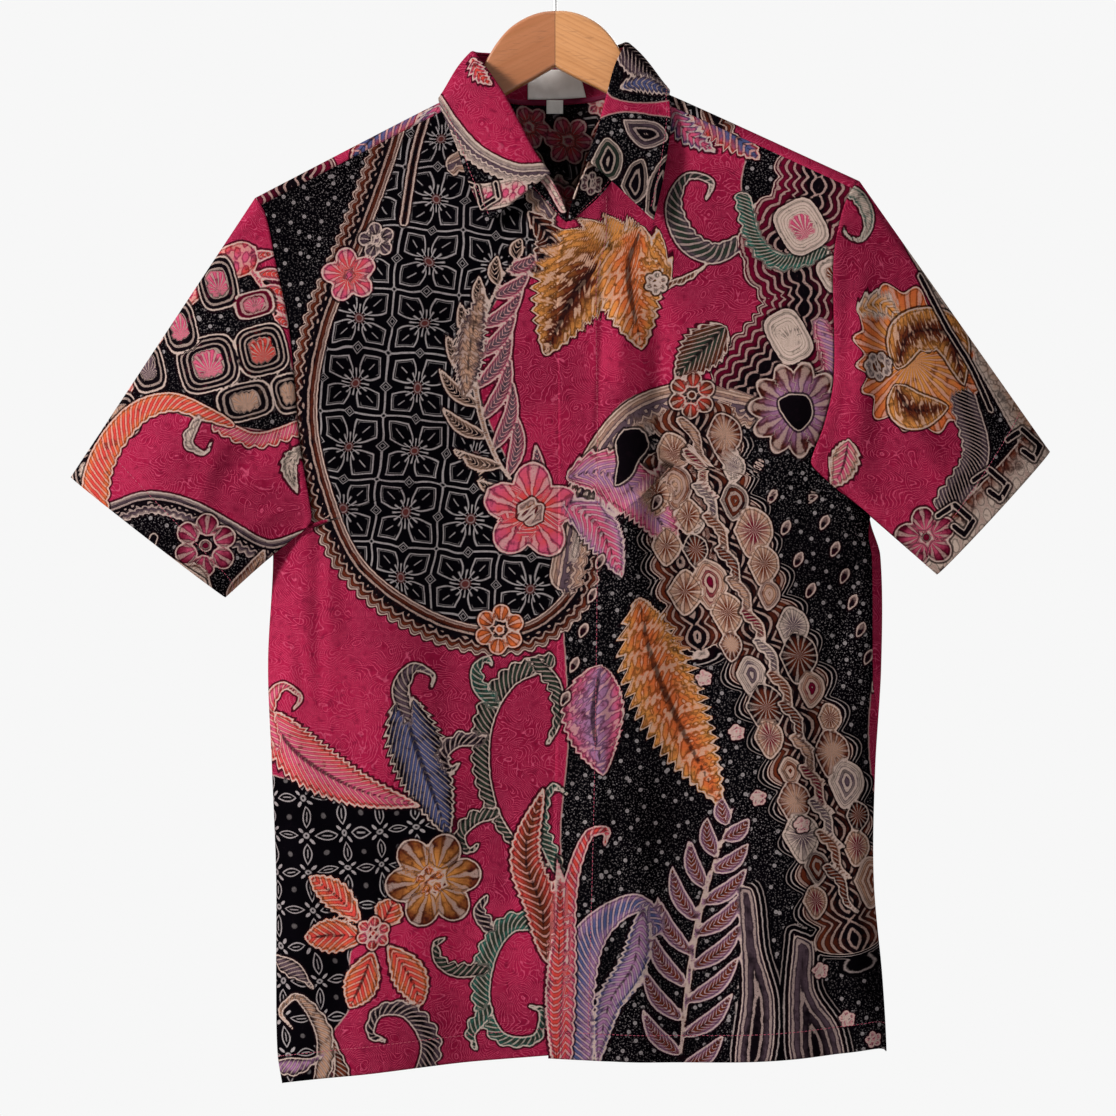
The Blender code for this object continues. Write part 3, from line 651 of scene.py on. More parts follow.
class Print:
    """One layer of motifs on a net: each point keeps the nearest motif's distance, phase and shade."""

    def __init__(self, x, z):
        self.x, self.z = x, z
        self.form = np.zeros((x.size, 3))
        self.form[:, 0] = NO_MOTIF
        self.hue = np.zeros((x.size, 3))
        self.tint = np.zeros((x.size, 3))
        self.more = np.zeros((x.size, 3))

    def near(self, points, reach):
        points = np.array(points, float)
        low, high = points.min(axis=0) - reach, points.max(axis=0) + reach
        inside = (self.x > low[0]) & (self.x < high[0]) & (self.z > low[1]) & (self.z < high[1])
        return np.nonzero(inside)[0]

    def put(self, at, distance, phase, shade, hue, tint, line=0.13, rib=0.0):
        """Draws a motif over what is there; outside every motif the nearest one is kept.
        rib above 0 draws a midrib; below 0, two more lines outside the edge."""
        wins = (distance > 0) | (distance > self.form[at, 0])
        at, distance, phase, shade = at[wins], distance[wins], phase[wins], shade[wins]
        self.form[at] = np.stack([distance, phase, shade], axis=-1)
        self.hue[at] = linear(hue)
        self.tint[at] = linear(tint)
        self.more[at] = (line, rib, 0.0)

    def along_spine(self, spine, reach):
        """For points near a path: the place along it, the signed distance from it, how far past its
        ends they lie, and its length."""
        path, run, length = curve_points(spine)
        at = self.near(path, reach)
        dx = self.x[at, None] - path[None, :, 0]
        dz = self.z[at, None] - path[None, :, 1]
        k = (dx * dx + dz * dz).argmin(axis=1)
        way = np.gradient(path, axis=0)
        way /= np.linalg.norm(way, axis=1, keepdims=True)
        pick = np.arange(at.size)
        place = run[k] + dx[pick, k] * way[k, 0] + dz[pick, k] * way[k, 1]
        off = dx[pick, k] * way[k, 1] - dz[pick, k] * way[k, 0]
        return at, place, off, np.maximum(np.maximum(-place, place - length), 0.0), length

    def leaf(self, spine, width, hue, tint, teeth=0.0, pitch=7.0, slant=0.5, line=0.13, fat=0.42,
             side=0.0, rib=1.0, cells=0.0):
        """A pointed leaf along a spine, with slanted veins or lens cells and a toothed edge."""
        at, place, off, beyond, length = self.along_spine(spine, width + teeth + 12)
        t = np.clip(place / length, 0.0, 1.0)
        body = np.sin(math.pi * t ** (math.log(0.5) / math.log(fat))) ** 0.8
        tooth = np.abs(((place - 0.5 * np.abs(off)) / pitch) % 1.0 - 0.5) * 2
        half = width / 2 * body * (1 + side * np.sign(off)) + teeth * (tooth - 0.5) * body
        distance = (half - np.abs(off)) * (0.7 if teeth else 0.9)
        distance = np.where(beyond > 0, -np.hypot(beyond, np.abs(off)), distance)
        slanted = (place - slant * np.abs(off) * 2) / pitch
        phase = lens_cells(slanted, np.abs(off) / cells) if cells else slanted
        self.put(at, distance, phase, np.abs(off) / np.maximum(half, 1.0), hue, tint, line, rib)

    def curl(self, spine, width, hue, tint, root=0.5, pitch=5.0, knots=2.0):
        """A tendril that swells from its root and thins into its curled tip, with a knotted edge."""
        at, place, off, beyond, length = self.along_spine(spine, width + 14)
        t = np.clip(place / length, 0.0, 1.0)
        body = root + (1 - root) * np.sin(math.pi * np.minimum(t * 1.35, 1.0))
        body = body * (1 - t) ** 0.35
        knot = knots * (np.abs(np.sin(math.pi * place / 9.0)) - 0.5) * (off > 0)
        half = width / 2 * body + knot * body
        distance = half - np.hypot(off, beyond)
        phase = (place + 0.9 * off) / pitch
        self.put(at, distance, phase, np.abs(off) / np.maximum(half, 1.0), hue, tint, 0.15)

    def band(self, spine, width, hue, tint, scallop=0.0, pitch=9.0, lines=3.2, line=0.16, cross=False,
             cells=0.0, rib=0.0, both=False):
        """A band of even width, with lines along it or across it, or cells, and a scalloped edge."""
        at, place, off, beyond, _ = self.along_spine(spine, width + scallop + 14)
        arch = np.abs(np.sin(math.pi * place / pitch))
        half = width / 2 + scallop * (arch - 0.4) * ((off > 0) | both)
        distance = half - np.hypot(off, beyond)
        phase = 0.5 + (place + 0.7 * off if cross else half - np.abs(off)) * (lines and 1 / lines)
        if cells:
            phase = lens_cells((place + 0.4 * off) / lines, off / cells)
        self.put(at, distance, phase, np.abs(off) / (width / 2), hue, tint, line, rib)

    def flower(self, centre, radius, petals, hue, tint, veins=5.0, turn=0.1, long=1.0):
        """A flower of separate round or long petals, each with a fan of veins, round a small heart."""
        at = self.near([centre], radius * 1.4 + 10)
        dx, dz = self.x[at] - centre[0], self.z[at] - centre[1]
        r, angle = np.hypot(dx, dz), np.arctan2(dz, dx)
        step = 2 * math.pi / petals
        local = (angle / step + turn) % 1.0 - 0.5
        away, over = r * np.cos(local * step), r * np.sin(local * step)
        small = radius * math.sin(math.pi / petals) / (1 + math.sin(math.pi / petals)) * 1.06
        lobe = small - np.hypot((away - (radius - small * long)) / long, over)
        heart = radius * 0.2 - r
        phase = np.arctan2(over, np.maximum(away - 0.2 * radius, 0.3)) / math.pi * veins
        shade = np.clip(r / radius, 0.0, 1.0)
        at_heart = heart > lobe
        self.put(at, np.maximum(lobe, heart), np.where(at_heart, r / 3.0, phase),
                 np.where(at_heart, 1.0, shade), hue, tint, 0.14)

    def spray(self, spine, leaflets, long, wide, hue, tint, sides=(1, -1), lean=0.9):
        """Pointed leaflets off a stem, as on a fern, with the longest in the middle."""
        path, _, _ = curve_points(spine)
        way = np.gradient(path, axis=0)
        for k in range(leaflets):
            for side in sides:
                t = (k + 0.25 + 0.22 * side) / leaflets
                index = int(t * (len(path) - 1))
                root = path[index]
                ahead = math.atan2(way[index, 1], way[index, 0])
                angle = ahead + side * lean * (1 - 0.35 * t)
                reach = long * (0.6 + 0.8 * math.sin(math.pi * min(t * 0.85 + 0.12, 1.0))) * (1.06 - 0.5 * t)
                tip = root + reach * np.array([math.cos(angle), math.sin(angle)])
                bend = (root + tip) / 2 + 0.1 * reach * np.array([-math.sin(angle), math.cos(angle)]) * side
                self.leaf((root, bend, tip), wide, hue, tint, pitch=3.6, slant=0.8, line=0.12)
        self.leaf(spine, 4.5, tint, hue, pitch=3.0)

    def blob(self, ring, hue, tint, pitch=4.0, line=0.16, wave=0.0, rib=0.0, fan=0.0):
        """A closed shape through a few points, filled with lines that follow its edge, or with a fan."""
        path, _, _ = curve_points([*ring, ring[0]], 120)
        at = self.near(path, 14)
        if not at.size:
            return
        distance = inside_of(self.x[at], self.z[at], ring)
        middle = np.mean(np.array(ring, float), axis=0)
        angle = np.arctan2(self.z[at] - middle[1], self.x[at] - middle[0])
        distance = distance + wave * np.sin(angle * 14)
        deepest = max(distance.max(), 1.0)
        phase = angle * fan / (2 * math.pi) if fan else 0.5 + distance * (pitch and 1 / pitch)
        self.put(at, distance, phase, 1 - distance / deepest, hue, tint, line, rib)

    def tile(self, centre, size, hue, tint, tilt):
        """A rounded square of nested outlines, with a fan in its heart."""
        at = self.near([centre], max(size) + 14)
        dx, dz = self.x[at] - centre[0], self.z[at] - centre[1]
        u = dx * math.cos(tilt) + dz * math.sin(tilt)
        v = dz * math.cos(tilt) - dx * math.sin(tilt)
        fold = ((np.abs(u) / size[0]) ** 3.5 + (np.abs(v) / size[1]) ** 3.5) ** (1 / 3.5)
        distance = (1 - fold) * min(size)
        inner = fold < 0.45
        phase = np.where(inner, np.arctan2(v + 0.3 * size[1], u) * 9 / math.pi, distance / 3.6)
        self.put(at, distance, phase, np.where(inner, 0.0, 1.0), hue, tint, 0.16)


# Regions of the ground as rings of points: black, and on it the small and the large rosettes
UPPER = ((-118, -120), (-152, -236), (-178, -302), (-185, -369), (-170, -436), (-148, -480), (-107, -513),
         (-63, -530), (-18, -528), (8, -505), (-2, -450), (-28, -413), (-56, -350), (-58, -312),
         (-40, -276), (-8, -250), (0, -215), (-16, -150), (-60, -90))
SHOULDER = ((-230, -150), (-120, -150), (-150, -235), (-180, -302), (-184, -380), (-232, -400))
LOWER_LEFT = ((-290, -620), (-129, -648), (-85, -668), (-92, -709), (-115, -724), (-150, -760),
              (-150, -800), (-168, -830), (-166, -890), (-290, -890))
RIGHT_SIDE = ((6, -520), (15, -450), (26, -396), (48, -358), (80, -346), (130, -342), (176, -300),
              (206, -250), (190, -190), (216, -180), (240, -340), (262, -500), (236, -560), (236, -640),
              (262, -700), (262, -890), (8, -890), (6, -840), (12, -760), (4, -680), (10, -600))
UPPER_RIGHT = ((150, -150), (216, -170), (222, -380), (140, -352), (118, -330), (152, -300), (160, -262),
               (150, -228), (138, -196))


def ground(x, z, black, small=(), large=()):
    """Signed distances to the ground's regions, each far outside if there is none."""
    far = np.full(x.size, NO_MOTIF)
    regions = (black, small, large)
    return np.stack([np.max([far, *(inside_of(x, z, ring) for ring in rings)], axis=0) for rings in regions],
                    axis=-1)


def front_ground(x, z):
    return ground(x, z, (UPPER, SHOULDER, LOWER_LEFT, RIGHT_SIDE, UPPER_RIGHT), (LOWER_LEFT,), (UPPER,))


def back_ground(x, z):
    """The same ground as the front, with a black field round the neck."""
    neck = ((-90, -60), (90, -60), (70, -200), (0, -250), (-80, -210))
    return ground(x, z, (UPPER, LOWER_LEFT, RIGHT_SIDE, neck), (LOWER_LEFT,), (UPPER,))


def collar_ground(x, z):
    """Crimson on the left leaf, down to a black tip; dark on the right leaf."""
    tip = ((-84, -168), (-40, -176), (-10, -205), (-30, -240), (-70, -240), (-90, -200))
    leaf = ((22, -150), (46, -141), (70, -142), (100, -150), (96, -200), (86, -240), (60, -240), (24, -200))
    top = ((30, -74), (60, -70), (100, -110), (96, -128), (44, -130), (30, -100))
    return ground(x, z, (tip, leaf, top))


def stand_ground(x, z):
    """Both front ends of the stand are black; round the neck it is crimson."""
    right = ((-60, -170), (-20, -170), (9, -200), (9, -235), (-60, -235))
    left = ((11, -205), (34, -165), (60, -165), (60, -235), (11, -235))
    return ground(x, z, (right, left))


def sleeve_right_ground(x, z):
    field = ((-210, -268), (-246, -250), (-286, -262), (-372, -380), (-372, -440), (-334, -436), (-330, -392),
             (-300, -362), (-250, -372), (-192, -372))
    hem = ((-330, -440), (-300, -428), (-262, -440), (-215, -464), (-180, -456), (-230, -520), (-290, -500))
    return ground(x, z, (field, hem))


def sleeve_left_ground(x, z):
    hem = ((262, -230), (306, -250), (380, -380), (380, -410), (284, -500), (262, -470), (300, -436),
           (312, -400), (300, -330), (284, -280))
    return ground(x, z, (hem,))


def draw_front(bands, blooms, bits):
    """Every motif on the shirt's front, from the shoulders to the hem."""
    # upper left: the scalloped band round the black ground, and flowers on it
    rim = ((-118, -140), (-134, -190), (-152, -240), (-176, -302), (-185, -369), (-170, -436), (-148, -480),
           (-107, -513), (-63, -530), (-18, -528), (15, -502), (24, -470))
    bands.band(rim, 20, INK, BROWN, scallop=4.0, pitch=9.0, lines=4.6, line=0.15)
    bands.band(((-92, -128), (-104, -170), (-112, -222)), 7, INK, BROWN, lines=2.8)
    blooms.flower((-152, -262), 21, 5, CORAL, PINK, long=1.2)
    blooms.flower((-132, -236), 14, 5, INK, GREY)
    bands.band(((-74, -178), (-52, -168), (-24, -186), (-6, -214)), 15, GREY, BEIGE, scallop=3.0, lines=3.6)
    bands.leaf(((-20, -214), (-4, -236), (-14, -254), (-34, -262)), 20, INK, BROWN, teeth=4, pitch=6)
    blooms.flower((-2, -190), 9, 5, PINK, CREAM)
    # the feather: dark and dusty leaflets up its right side, a dense vane on its left
    stem = ((-20, -430), (-44, -396), (-58, -350), (-56, -306), (-38, -262), (-20, -240))
    bands.spray(stem, 9, 46, 12, GREY, PINK, sides=(-1,), lean=0.75)
    bands.spray(stem, 9, 34, 11, INK, BEIGE, sides=(1,), lean=0.7)
    bands.leaf(((-66, -352), (-62, -310), (-52, -270)), 22, BEIGE, GREY, teeth=5, pitch=5, cells=9)
    # where the great flower joins the bands
    blooms.flower((-18, -437), 37, 5, CORAL, PINK, long=1.25, turn=0.3)
    bits.flower((-18, -437), 11, 6, GOLD, MAROON, veins=1.0)
    blooms.flower((-41, -524), 19, 6, BROWN, ORANGE)
    blooms.leaf(((8, -412), (34, -408), (66, -428), (92, -470)), 40, LILAC, PINK, teeth=5, pitch=6, slant=0.8)
    blooms.leaf(((6, -430), (30, -446), (50, -486)), 30, PINK, LILAC, teeth=4, pitch=6, slant=0.7)
    # upper right: the great golden leaf and its stem, hooks, the wavy band and its fans
    bands.leaf(((84, -272), (56, -256), (24, -264), (-8, -322)), 66, BROWN, GOLD, teeth=11, pitch=8.5,
               slant=0.75, fat=0.42, side=0.15, cells=15, line=0.15)
    bands.leaf(((64, -226), (54, -258), (64, -318)), 50, ORANGE, GOLD, teeth=7, pitch=8, slant=0.6, cells=14,
               line=0.15)
    blooms.flower((75, -268), 9, 6, BROWN, CREAM)
    bands.curl(((80, -270), (98, -264), (118, -250)), 6, BROWN, BEIGE, pitch=3.6)
    bands.curl(((140, -236), (118, -246), (98, -236), (88, -210), (98, -188), (116, -192), (112, -206)), 20,
               OLIVE, GREY, pitch=6)
    blooms.leaf(((126, -300), (112, -314), (88, -338)), 32, OLIVE, BROWN, teeth=5, pitch=6, slant=0.9)
    bands.leaf(((100, -136), (126, -150), (152, -176)), 30, BLUE, CORAL, teeth=8, pitch=7)
    bands.leaf(((84, -128), (96, -152), (120, -170)), 18, PINK, BLUE, teeth=6, pitch=6)
    wavy = ((196, -176), (192, -210), (168, -240), (184, -276), (176, -306), (146, -340))
    bands.band(wavy, 62, INK, MAROON, scallop=4.0, pitch=13.0, lines=6.2, line=0.14, both=True)
    for centre, size, dye in (((182, -226), (17, 20), PINK), ((172, -308), (14, 20), CREAM),
                              ((205, -262), (10, 13), BROWN)):
        blooms.tile(centre, size, dye, CREAM, 0.5)
    bands.band(((140, -206), (148, -236), (166, -252), (196, -246)), 12, OLIVE, TEAL, scallop=3.0, lines=3.0,
               cross=True)
    bands.curl(((196, -300), (206, -330), (192, -352), (170, -342)), 22, LILAC, PINK)
    # the dark ring with its fan of veins, and the arch that leads to it
    blooms.flower((178, -362), 36, 11, LILAC, BROWN, long=1.7, veins=4.0)
    bits.blob(((172, -350), (186, -352), (190, -366), (180, -378), (170, -370), (164, -356)), INK, INK,
              pitch=0)
    blooms.flower((101, -351), 18, 6, CORAL, BROWN)
    arch = ((8, -484), (16, -440), (34, -396), (60, -366), (96, -354), (140, -362))
    bands.band(arch, 24, GREY, BEIGE, scallop=4.0, pitch=8.0, lines=5.2, line=0.16)
    bands.band(((14, -470), (24, -430), (46, -392), (76, -374)), 7, CREAM, GREY, lines=2.8, cross=True)
    keyhole = ((50, -376), (64, -376), (70, -388), (62, -400), (56, -412), (44, -418), (46, -400), (44, -386))
    bits.blob(keyhole, INK, INK, pitch=0)
    chains = (((34, -470), (22, -520), (6, -580)), ((188, -420), (212, -480), (240, -572)),
              ((98, -392), (84, -412), (74, -432)), ((148, -400), (166, -440), (190, -500)))
    for chain in chains:
        path, _, length = curve_points(chain)
        for t in np.linspace(0.04, 0.96, max(int(length / 19), 2)):
            x, z = path[int(t * (len(path) - 1))]
            bits.leaf(((x + 3, z + 6), (x - 3, z - 6)), 7, INK, MAROON, pitch=30, rib=0.0)
    # the parang: bulging cells one after another down to the side, with two lines all round
    spine = ((104, -380), (112, -420), (140, -500), (174, -580), (200, -660), (218, -738))
    bands.band(spine, 54, INK, BROWN, scallop=11.0, pitch=27.0, lines=6.5, rib=-1.0, both=True, line=0.15)
    bands.band(((86, -408), (92, -470), (104, -524)), 38, INK, BROWN, scallop=7.0, pitch=19.0, lines=6.0,
               rib=-1.0, both=True, line=0.15)
    path, _, _ = curve_points(spine)
    pairs = ((BROWN, INK), (BEIGE, BROWN), (MAROON, BEIGE), (GREY, CREAM), (BROWN, BEIGE))
    for k in range(15):
        x, z = path[int((0.02 + 0.066 * k) * (len(path) - 1))]
        for side in (-1, 1):
            r = 11.5 + 3.0 * math.cos(1.7 * k + side)
            cx, cz = x + side * (19 + 4 * math.sin(2.3 * k)), z + 7 * side
            hue, tint = pairs[(2 * k + side) % 5]
            drop = ((cx - r, cz), (cx - 0.3 * r, cz + 1.2 * r), (cx + 0.8 * r, cz + 0.7 * r),
                    (cx + r, cz - 0.4 * r), (cx - 0.1 * side * r, cz - 1.5 * r))
            if (k + side) % 3:
                blooms.blob(drop, hue, tint, fan=15, line=0.14)
            else:
                blooms.blob(drop, hue, tint, pitch=4.0, line=0.2)
        bar = ((x - 12, z + 17), (x - 2, z + 7), (x + 2, z - 8), (x + 12, z - 17))
        bits.curl(bar, 9, *pairs[(k + 1) % 5], root=0.8, pitch=3.4)
    for x, z, r in ((74, -424, 13), (82, -462, 12), (96, -496, 14), (98, -440, 11)):
        ring = ((x - r, z), (x, z + r * 1.2), (x + r, z), (x, z - r * 1.3))
        blooms.blob(ring, BROWN, BEIGE, fan=11, line=0.14)
    # golden-orange leaf, the pink leaf beside it, and dots of florets on black
    bands.leaf(((62, -500), (70, -540), (88, -586), (124, -656)), 52, ORANGE, GOLD, teeth=10, pitch=8.5,
               slant=0.8, cells=12, line=0.15)
    blooms.leaf(((34, -550), (28, -590), (36, -632)), 46, LILAC, PINK, teeth=4, pitch=6, slant=0.7, cells=7)
    for centre in ((150, -648), (182, -668), (216, -812), (196, -776), (134, -600), (236, -828), (110, -560)):
        bits.flower(centre, 6.5, 5, GREY, PINK, veins=2.0)
    # the fern, the blue leaf and the coral one, and the dark parang at the hem
    bands.spray(((92, -850), (98, -790), (108, -730), (132, -655)), 8, 44, 13, BROWN, LILAC, lean=0.8)
    bands.curl(((14, -860), (12, -800), (26, -750), (58, -726), (76, -742), (66, -752)), 38, BLUE, LILAC,
               pitch=5, root=0.7)
    bands.leaf(((66, -726), (58, -770), (40, -800), (30, -850)), 22, LILAC, BLUE, teeth=3, pitch=5)
    blooms.curl(((4, -850), (6, -780), (10, -720), (24, -676), (38, -672), (36, -684)), 22, CORAL, PINK,
                pitch=6, root=0.7)
    for ring in (((134, -712), (146, -716), (152, -760), (162, -800), (156, -850), (134, -852), (138, -790)),
                 ((176, -748), (190, -756), (192, -790), (210, -820), (212, -852), (178, -852), (172, -800))):
        bands.blob(ring, INK, GREY, pitch=6.5, line=0.13, rib=-1.0)
    # lower left: the curled leaves above the rosettes
    blooms.leaf(((-214, -588), (-190, -616), (-150, -640), (-98, -655)), 36, PINK, CORAL, teeth=4, pitch=6,
                slant=0.9, fat=0.3)
    blooms.curl(((-206, -610), (-214, -584), (-202, -566), (-188, -574), (-194, -584)), 14, PINK, CORAL)
    bands.leaf(((-112, -570), (-106, -600), (-92, -640), (-78, -678)), 42, BLUE, INK, teeth=5, pitch=6,
               slant=0.9)
    bands.curl(((-108, -590), (-114, -568), (-104, -552), (-90, -558), (-92, -568)), 15, GREY, INK)
    blooms.flower((-90, -709), 36, 6, GOLD, BROWN, long=1.1, turn=0.35)
    blooms.flower((-92, -709), 11, 5, GOLD, ORANGE)
    for root, tip, wide in (((-142, -742), (-182, -706), 22), ((-138, -752), (-186, -752), 26),
                            ((-134, -760), (-152, -804), 26), ((-124, -756), (-98, -802), 26),
                            ((-130, -744), (-118, -722), 22)):
        middle = ((root[0] + tip[0]) / 2 + 2, (root[1] + tip[1]) / 2 + 2)
        bands.leaf((root, middle, tip), wide, CORAL, ORANGE, teeth=2.5, pitch=6, slant=0.6, fat=0.55)
    blooms.flower((-134, -748), 13, 6, PINK, CORAL)
    # tendrils to the right of them
    loops = (
        ((-6, -548), (-34, -560), (-52, -590), (-54, -628), (-44, -662), (-26, -686), (-4, -700)),
        ((-46, -578), (-56, -566), (-58, -552), (-50, -546), (-46, -552)),
        ((-56, -606), (-72, -606), (-82, -616), (-78, -628), (-70, -622)),
        ((-46, -660), (-60, -664), (-70, -676), (-64, -688), (-56, -682)),
        ((-8, -740), (-34, -742), (-50, -764), (-54, -800), (-40, -826), (-14, -826), (-10, -806),
         (-20, -802)),
        ((-50, -744), (-56, -732), (-50, -720)),
        ((-54, -776), (-74, -776), (-86, -768), (-88, -756), (-80, -752)),
        ((-50, -806), (-62, -822), (-58, -836)),
        ((-100, -860), (-92, -830), (-108, -806), (-130, -806), (-136, -822), (-124, -828)),
        ((-14, -548), (0, -566), (2, -590), (-6, -610)),
        ((2, -700), (-10, -668), (-2, -640), (10, -646)),
    )
    for k, spine in enumerate(loops):
        hue, tint = ((OLIVE, INK), (OLIVE, TEAL), (INK, GREY))[k % 3]
        bands.curl(spine, 17 if len(spine) > 5 else 12, hue, tint, root=0.75, pitch=4.5, knots=4.0)
    blooms.leaf(((-6, -770), (-10, -730), (-22, -690), (-8, -640)), 26, BROWN, CORAL, teeth=3, pitch=6)
    blooms.leaf(((2, -858), (0, -800), (4, -740), (2, -690)), 15, CORAL, PINK, teeth=2, pitch=5)
    hooks = (((-176, -870), (-170, -826), (-190, -796), (-204, -808), (-194, -820)),
             ((-208, -850), (-186, -846), (-170, -838)), ((-206, -770), (-190, -778), (-178, -790)),
             ((-160, -880), (-158, -850), (-166, -822)))
    for k, spine in enumerate(hooks):
        bands.curl(spine, 16, (BEIGE, LILAC, GREY, BROWN)[k], INK, pitch=4.0)


def draw_back(bands, blooms, bits):
    """The back repeats the front's motifs the other way round, and adds red flowers below the neck."""
    draw_front(bands, blooms, bits)
    for centre, radius in (((20, -146), 17), ((-10, -156), 19), ((-4, -202), 15), ((34, -186), 13),
                           ((-34, -128), 11)):
        bits.flower(centre, radius, 6, CORAL, PINK, long=1.2, turn=0.02 * radius)
    blooms.curl(((-60, -120), (-34, -150), (-20, -190), (-6, -230)), 12, OLIVE, CORAL)
    blooms.curl(((44, -120), (30, -150), (10, -176), (2, -214)), 12, CORAL, OLIVE)


def draw_sleeve_right(bands, blooms, bits):
    """The sleeve on the viewer's left: spikes, large rounded tiles, a coral serpent, dark scallops."""
    bands.spray(((-248, -250), (-222, -262), (-204, -300)), 6, 24, 9, CORAL, PINK, sides=(1,), lean=0.8)
    bands.band(((-232, -250), (-262, -262), (-300, -300), (-330, -350)), 26, PINK, CORAL, lines=7, cells=10)
    tiles = (((-256, -328), (23, 21), INK, PINK), ((-216, -318), (19, 19), INK, CORAL),
             ((-228, -356), (21, 14), INK, BEIGE), ((-196, -350), (12, 15), INK, BEIGE),
             ((-250, -268), (15, 20), INK, PINK), ((-278, -300), (13, 20), INK, PINK),
             ((-302, -330), (13, 19), INK, GREY), ((-322, -366), (14, 17), INK, BEIGE),
             ((-346, -408), (13, 17), INK, CREAM), ((-222, -284), (15, 10), MAROON, PINK))
    for centre, size, hue, heart in tiles:
        blooms.tile(centre, size, heart, hue, 0.25)
    serpent = ((-342, -446), (-336, -400), (-312, -366), (-284, -356), (-254, -366), (-236, -374))
    bits.curl(serpent, 24, CORAL, ORANGE, root=0.9, pitch=5)
    bits.curl(((-262, -368), (-270, -386), (-258, -394), (-252, -384)), 9, CREAM, GREY)
    bands.band(((-246, -374), (-220, -384), (-186, -374)), 11, PINK, CORAL, scallop=3.0, lines=3.0,
               cross=True)
    low = ((-326, -438), (-300, -430), (-270, -436), (-240, -452), (-212, -466), (-182, -458))
    bands.band(low, 16, INK, GREY, scallop=3.0, pitch=6.0, lines=3.6, line=0.18)
    blooms.flower((-258, -462), 24, 6, PINK, MAROON)
    bits.band(((-320, -452), (-292, -470), (-262, -490)), 9, CREAM, BEIGE, lines=5, cells=5)
    bits.band(((-296, -456), (-302, -470)), 7, INK, INK, lines=0)
    blooms.leaf(((-244, -500), (-226, -486), (-214, -464)), 16, BEIGE, BROWN, pitch=5)
    blooms.leaf(((-282, -488), (-266, -482), (-254, -494)), 14, CREAM, BROWN, pitch=5)
    bands.leaf(((-184, -388), (-196, -402), (-190, -424)), 12, CREAM, OLIVE, teeth=3, pitch=5)


def draw_sleeve_left(bands, blooms, bits):
    """The sleeve on the viewer's right: the golden flower-leaf, a dark band, a key along the hem."""
    bands.curl(((206, -196), (224, -204), (232, -222), (226, -236), (214, -232), (214, -226)), 12, CREAM,
               TEAL, pitch=4)
    outer = ((276, -236), (306, -286), (336, -338), (362, -386))
    bands.band(outer, 34, BEIGE, CREAM, lines=8, cells=14, line=0.12)
    bits.band(((270, -262), (290, -300), (308, -330), (322, -362)), 5, INK, INK, lines=0)
    heart = ((222, -300), (236, -276), (262, -272), (292, -296), (312, -336), (304, -368), (272, -376),
             (238, -366), (226, -336))
    bands.blob(heart, GOLD, ORANGE, fan=31, line=0.14, wave=4.0)
    blooms.leaf(((252, -332), (262, -306), (290, -306), (302, -344)), 34, BROWN, GOLD, pitch=6, cells=14,
                slant=0.8, line=0.14)
    blooms.leaf(((250, -344), (262, -362), (290, -360)), 30, BROWN, GOLD, pitch=6, cells=10, slant=0.8)
    bits.flower((238, -330), 11, 7, CREAM, GREY, veins=2.0)
    bands.leaf(((222, -290), (240, -284), (256, -296)), 20, GOLD, CREAM, teeth=6, pitch=6)
    bands.band(((302, -356), (310, -396), (290, -430)), 20, INK, GREY, scallop=3.0, lines=3.0, cross=True)
    hem = ((370, -384), (334, -424), (296, -462), (276, -482))
    bands.band(hem, 40, CREAM, BROWN, lines=8, cells=12, line=0.12)
    for x, z in ((352, -390), (326, -420), (300, -446)):
        corner = ((x - 18, z + 6), (x - 6, z + 14), (x + 8, z + 2), (x + 2, z - 8), (x - 6, z - 2))
        for start, end in zip(corner, corner[1:]):
            bits.band((start, end), 5.5, INK, INK, lines=0)
    blooms.flower((274, -456), 23, 5, PINK, MAROON, long=1.1)
    blooms.leaf(((216, -384), (212, -404), (204, -420)), 22, PINK, BEIGE, teeth=3, pitch=5)


def draw_collar(bands, blooms, bits):
    """The collar: crimson over a hatched band and a key on the left; a dark leaf on the right."""
    bands.band(((-92, -128), (-78, -150), (-58, -172), (-30, -186), (-8, -186)), 14, GREY, CREAM,
               scallop=2.0, pitch=5.0, lines=3.6, line=0.16)
    bands.band(((-80, -196), (-56, -204), (-30, -200)), 20, PINK, CREAM, lines=6, cells=9)
    for start, end in (((-72, -192), (-58, -196)), ((-58, -196), (-54, -212)), ((-54, -212), (-42, -204)),
                       ((-42, -204), (-44, -194))):
        bits.band((start, end), 4.5, INK, INK, lines=0)
    bands.leaf(((-62, -98), (-56, -112), (-46, -120)), 12, CORAL, PINK, teeth=4, pitch=4)
    bands.leaf(((44, -84), (60, -96), (84, -122)), 30, INK, GREY, teeth=4, pitch=4)
    bands.leaf(((48, -122), (64, -118), (90, -126)), 14, BLUE, GREY, teeth=3, pitch=4)
    waves = ((((50, -146), (76, -148), (84, -160), (66, -168), (54, -158)), GREY),
             (((26, -178), (38, -160), (50, -172), (46, -190), (34, -192)), OLIVE),
             (((48, -196), (56, -180), (66, -176), (68, -200), (58, -210)), INK),
             (((66, -216), (70, -190), (84, -172), (86, -200), (76, -222)), INK))
    for ring, dye in waves:
        blooms.blob(ring, INK, dye, pitch=4.2, line=0.15)


def draw_stand(bands, blooms, bits):
    """A pale dotted strip on one end and a small flower on the other."""
    bits.band(((-22, -178), (-6, -192), (6, -212)), 7, CREAM, PINK, lines=6, cells=4)
    blooms.flower((27, -194), 9, 6, MAROON, GREY)
    blooms.curl(((40, -176), (22, -182), (14, -206)), 6, BEIGE, BROWN, pitch=4)


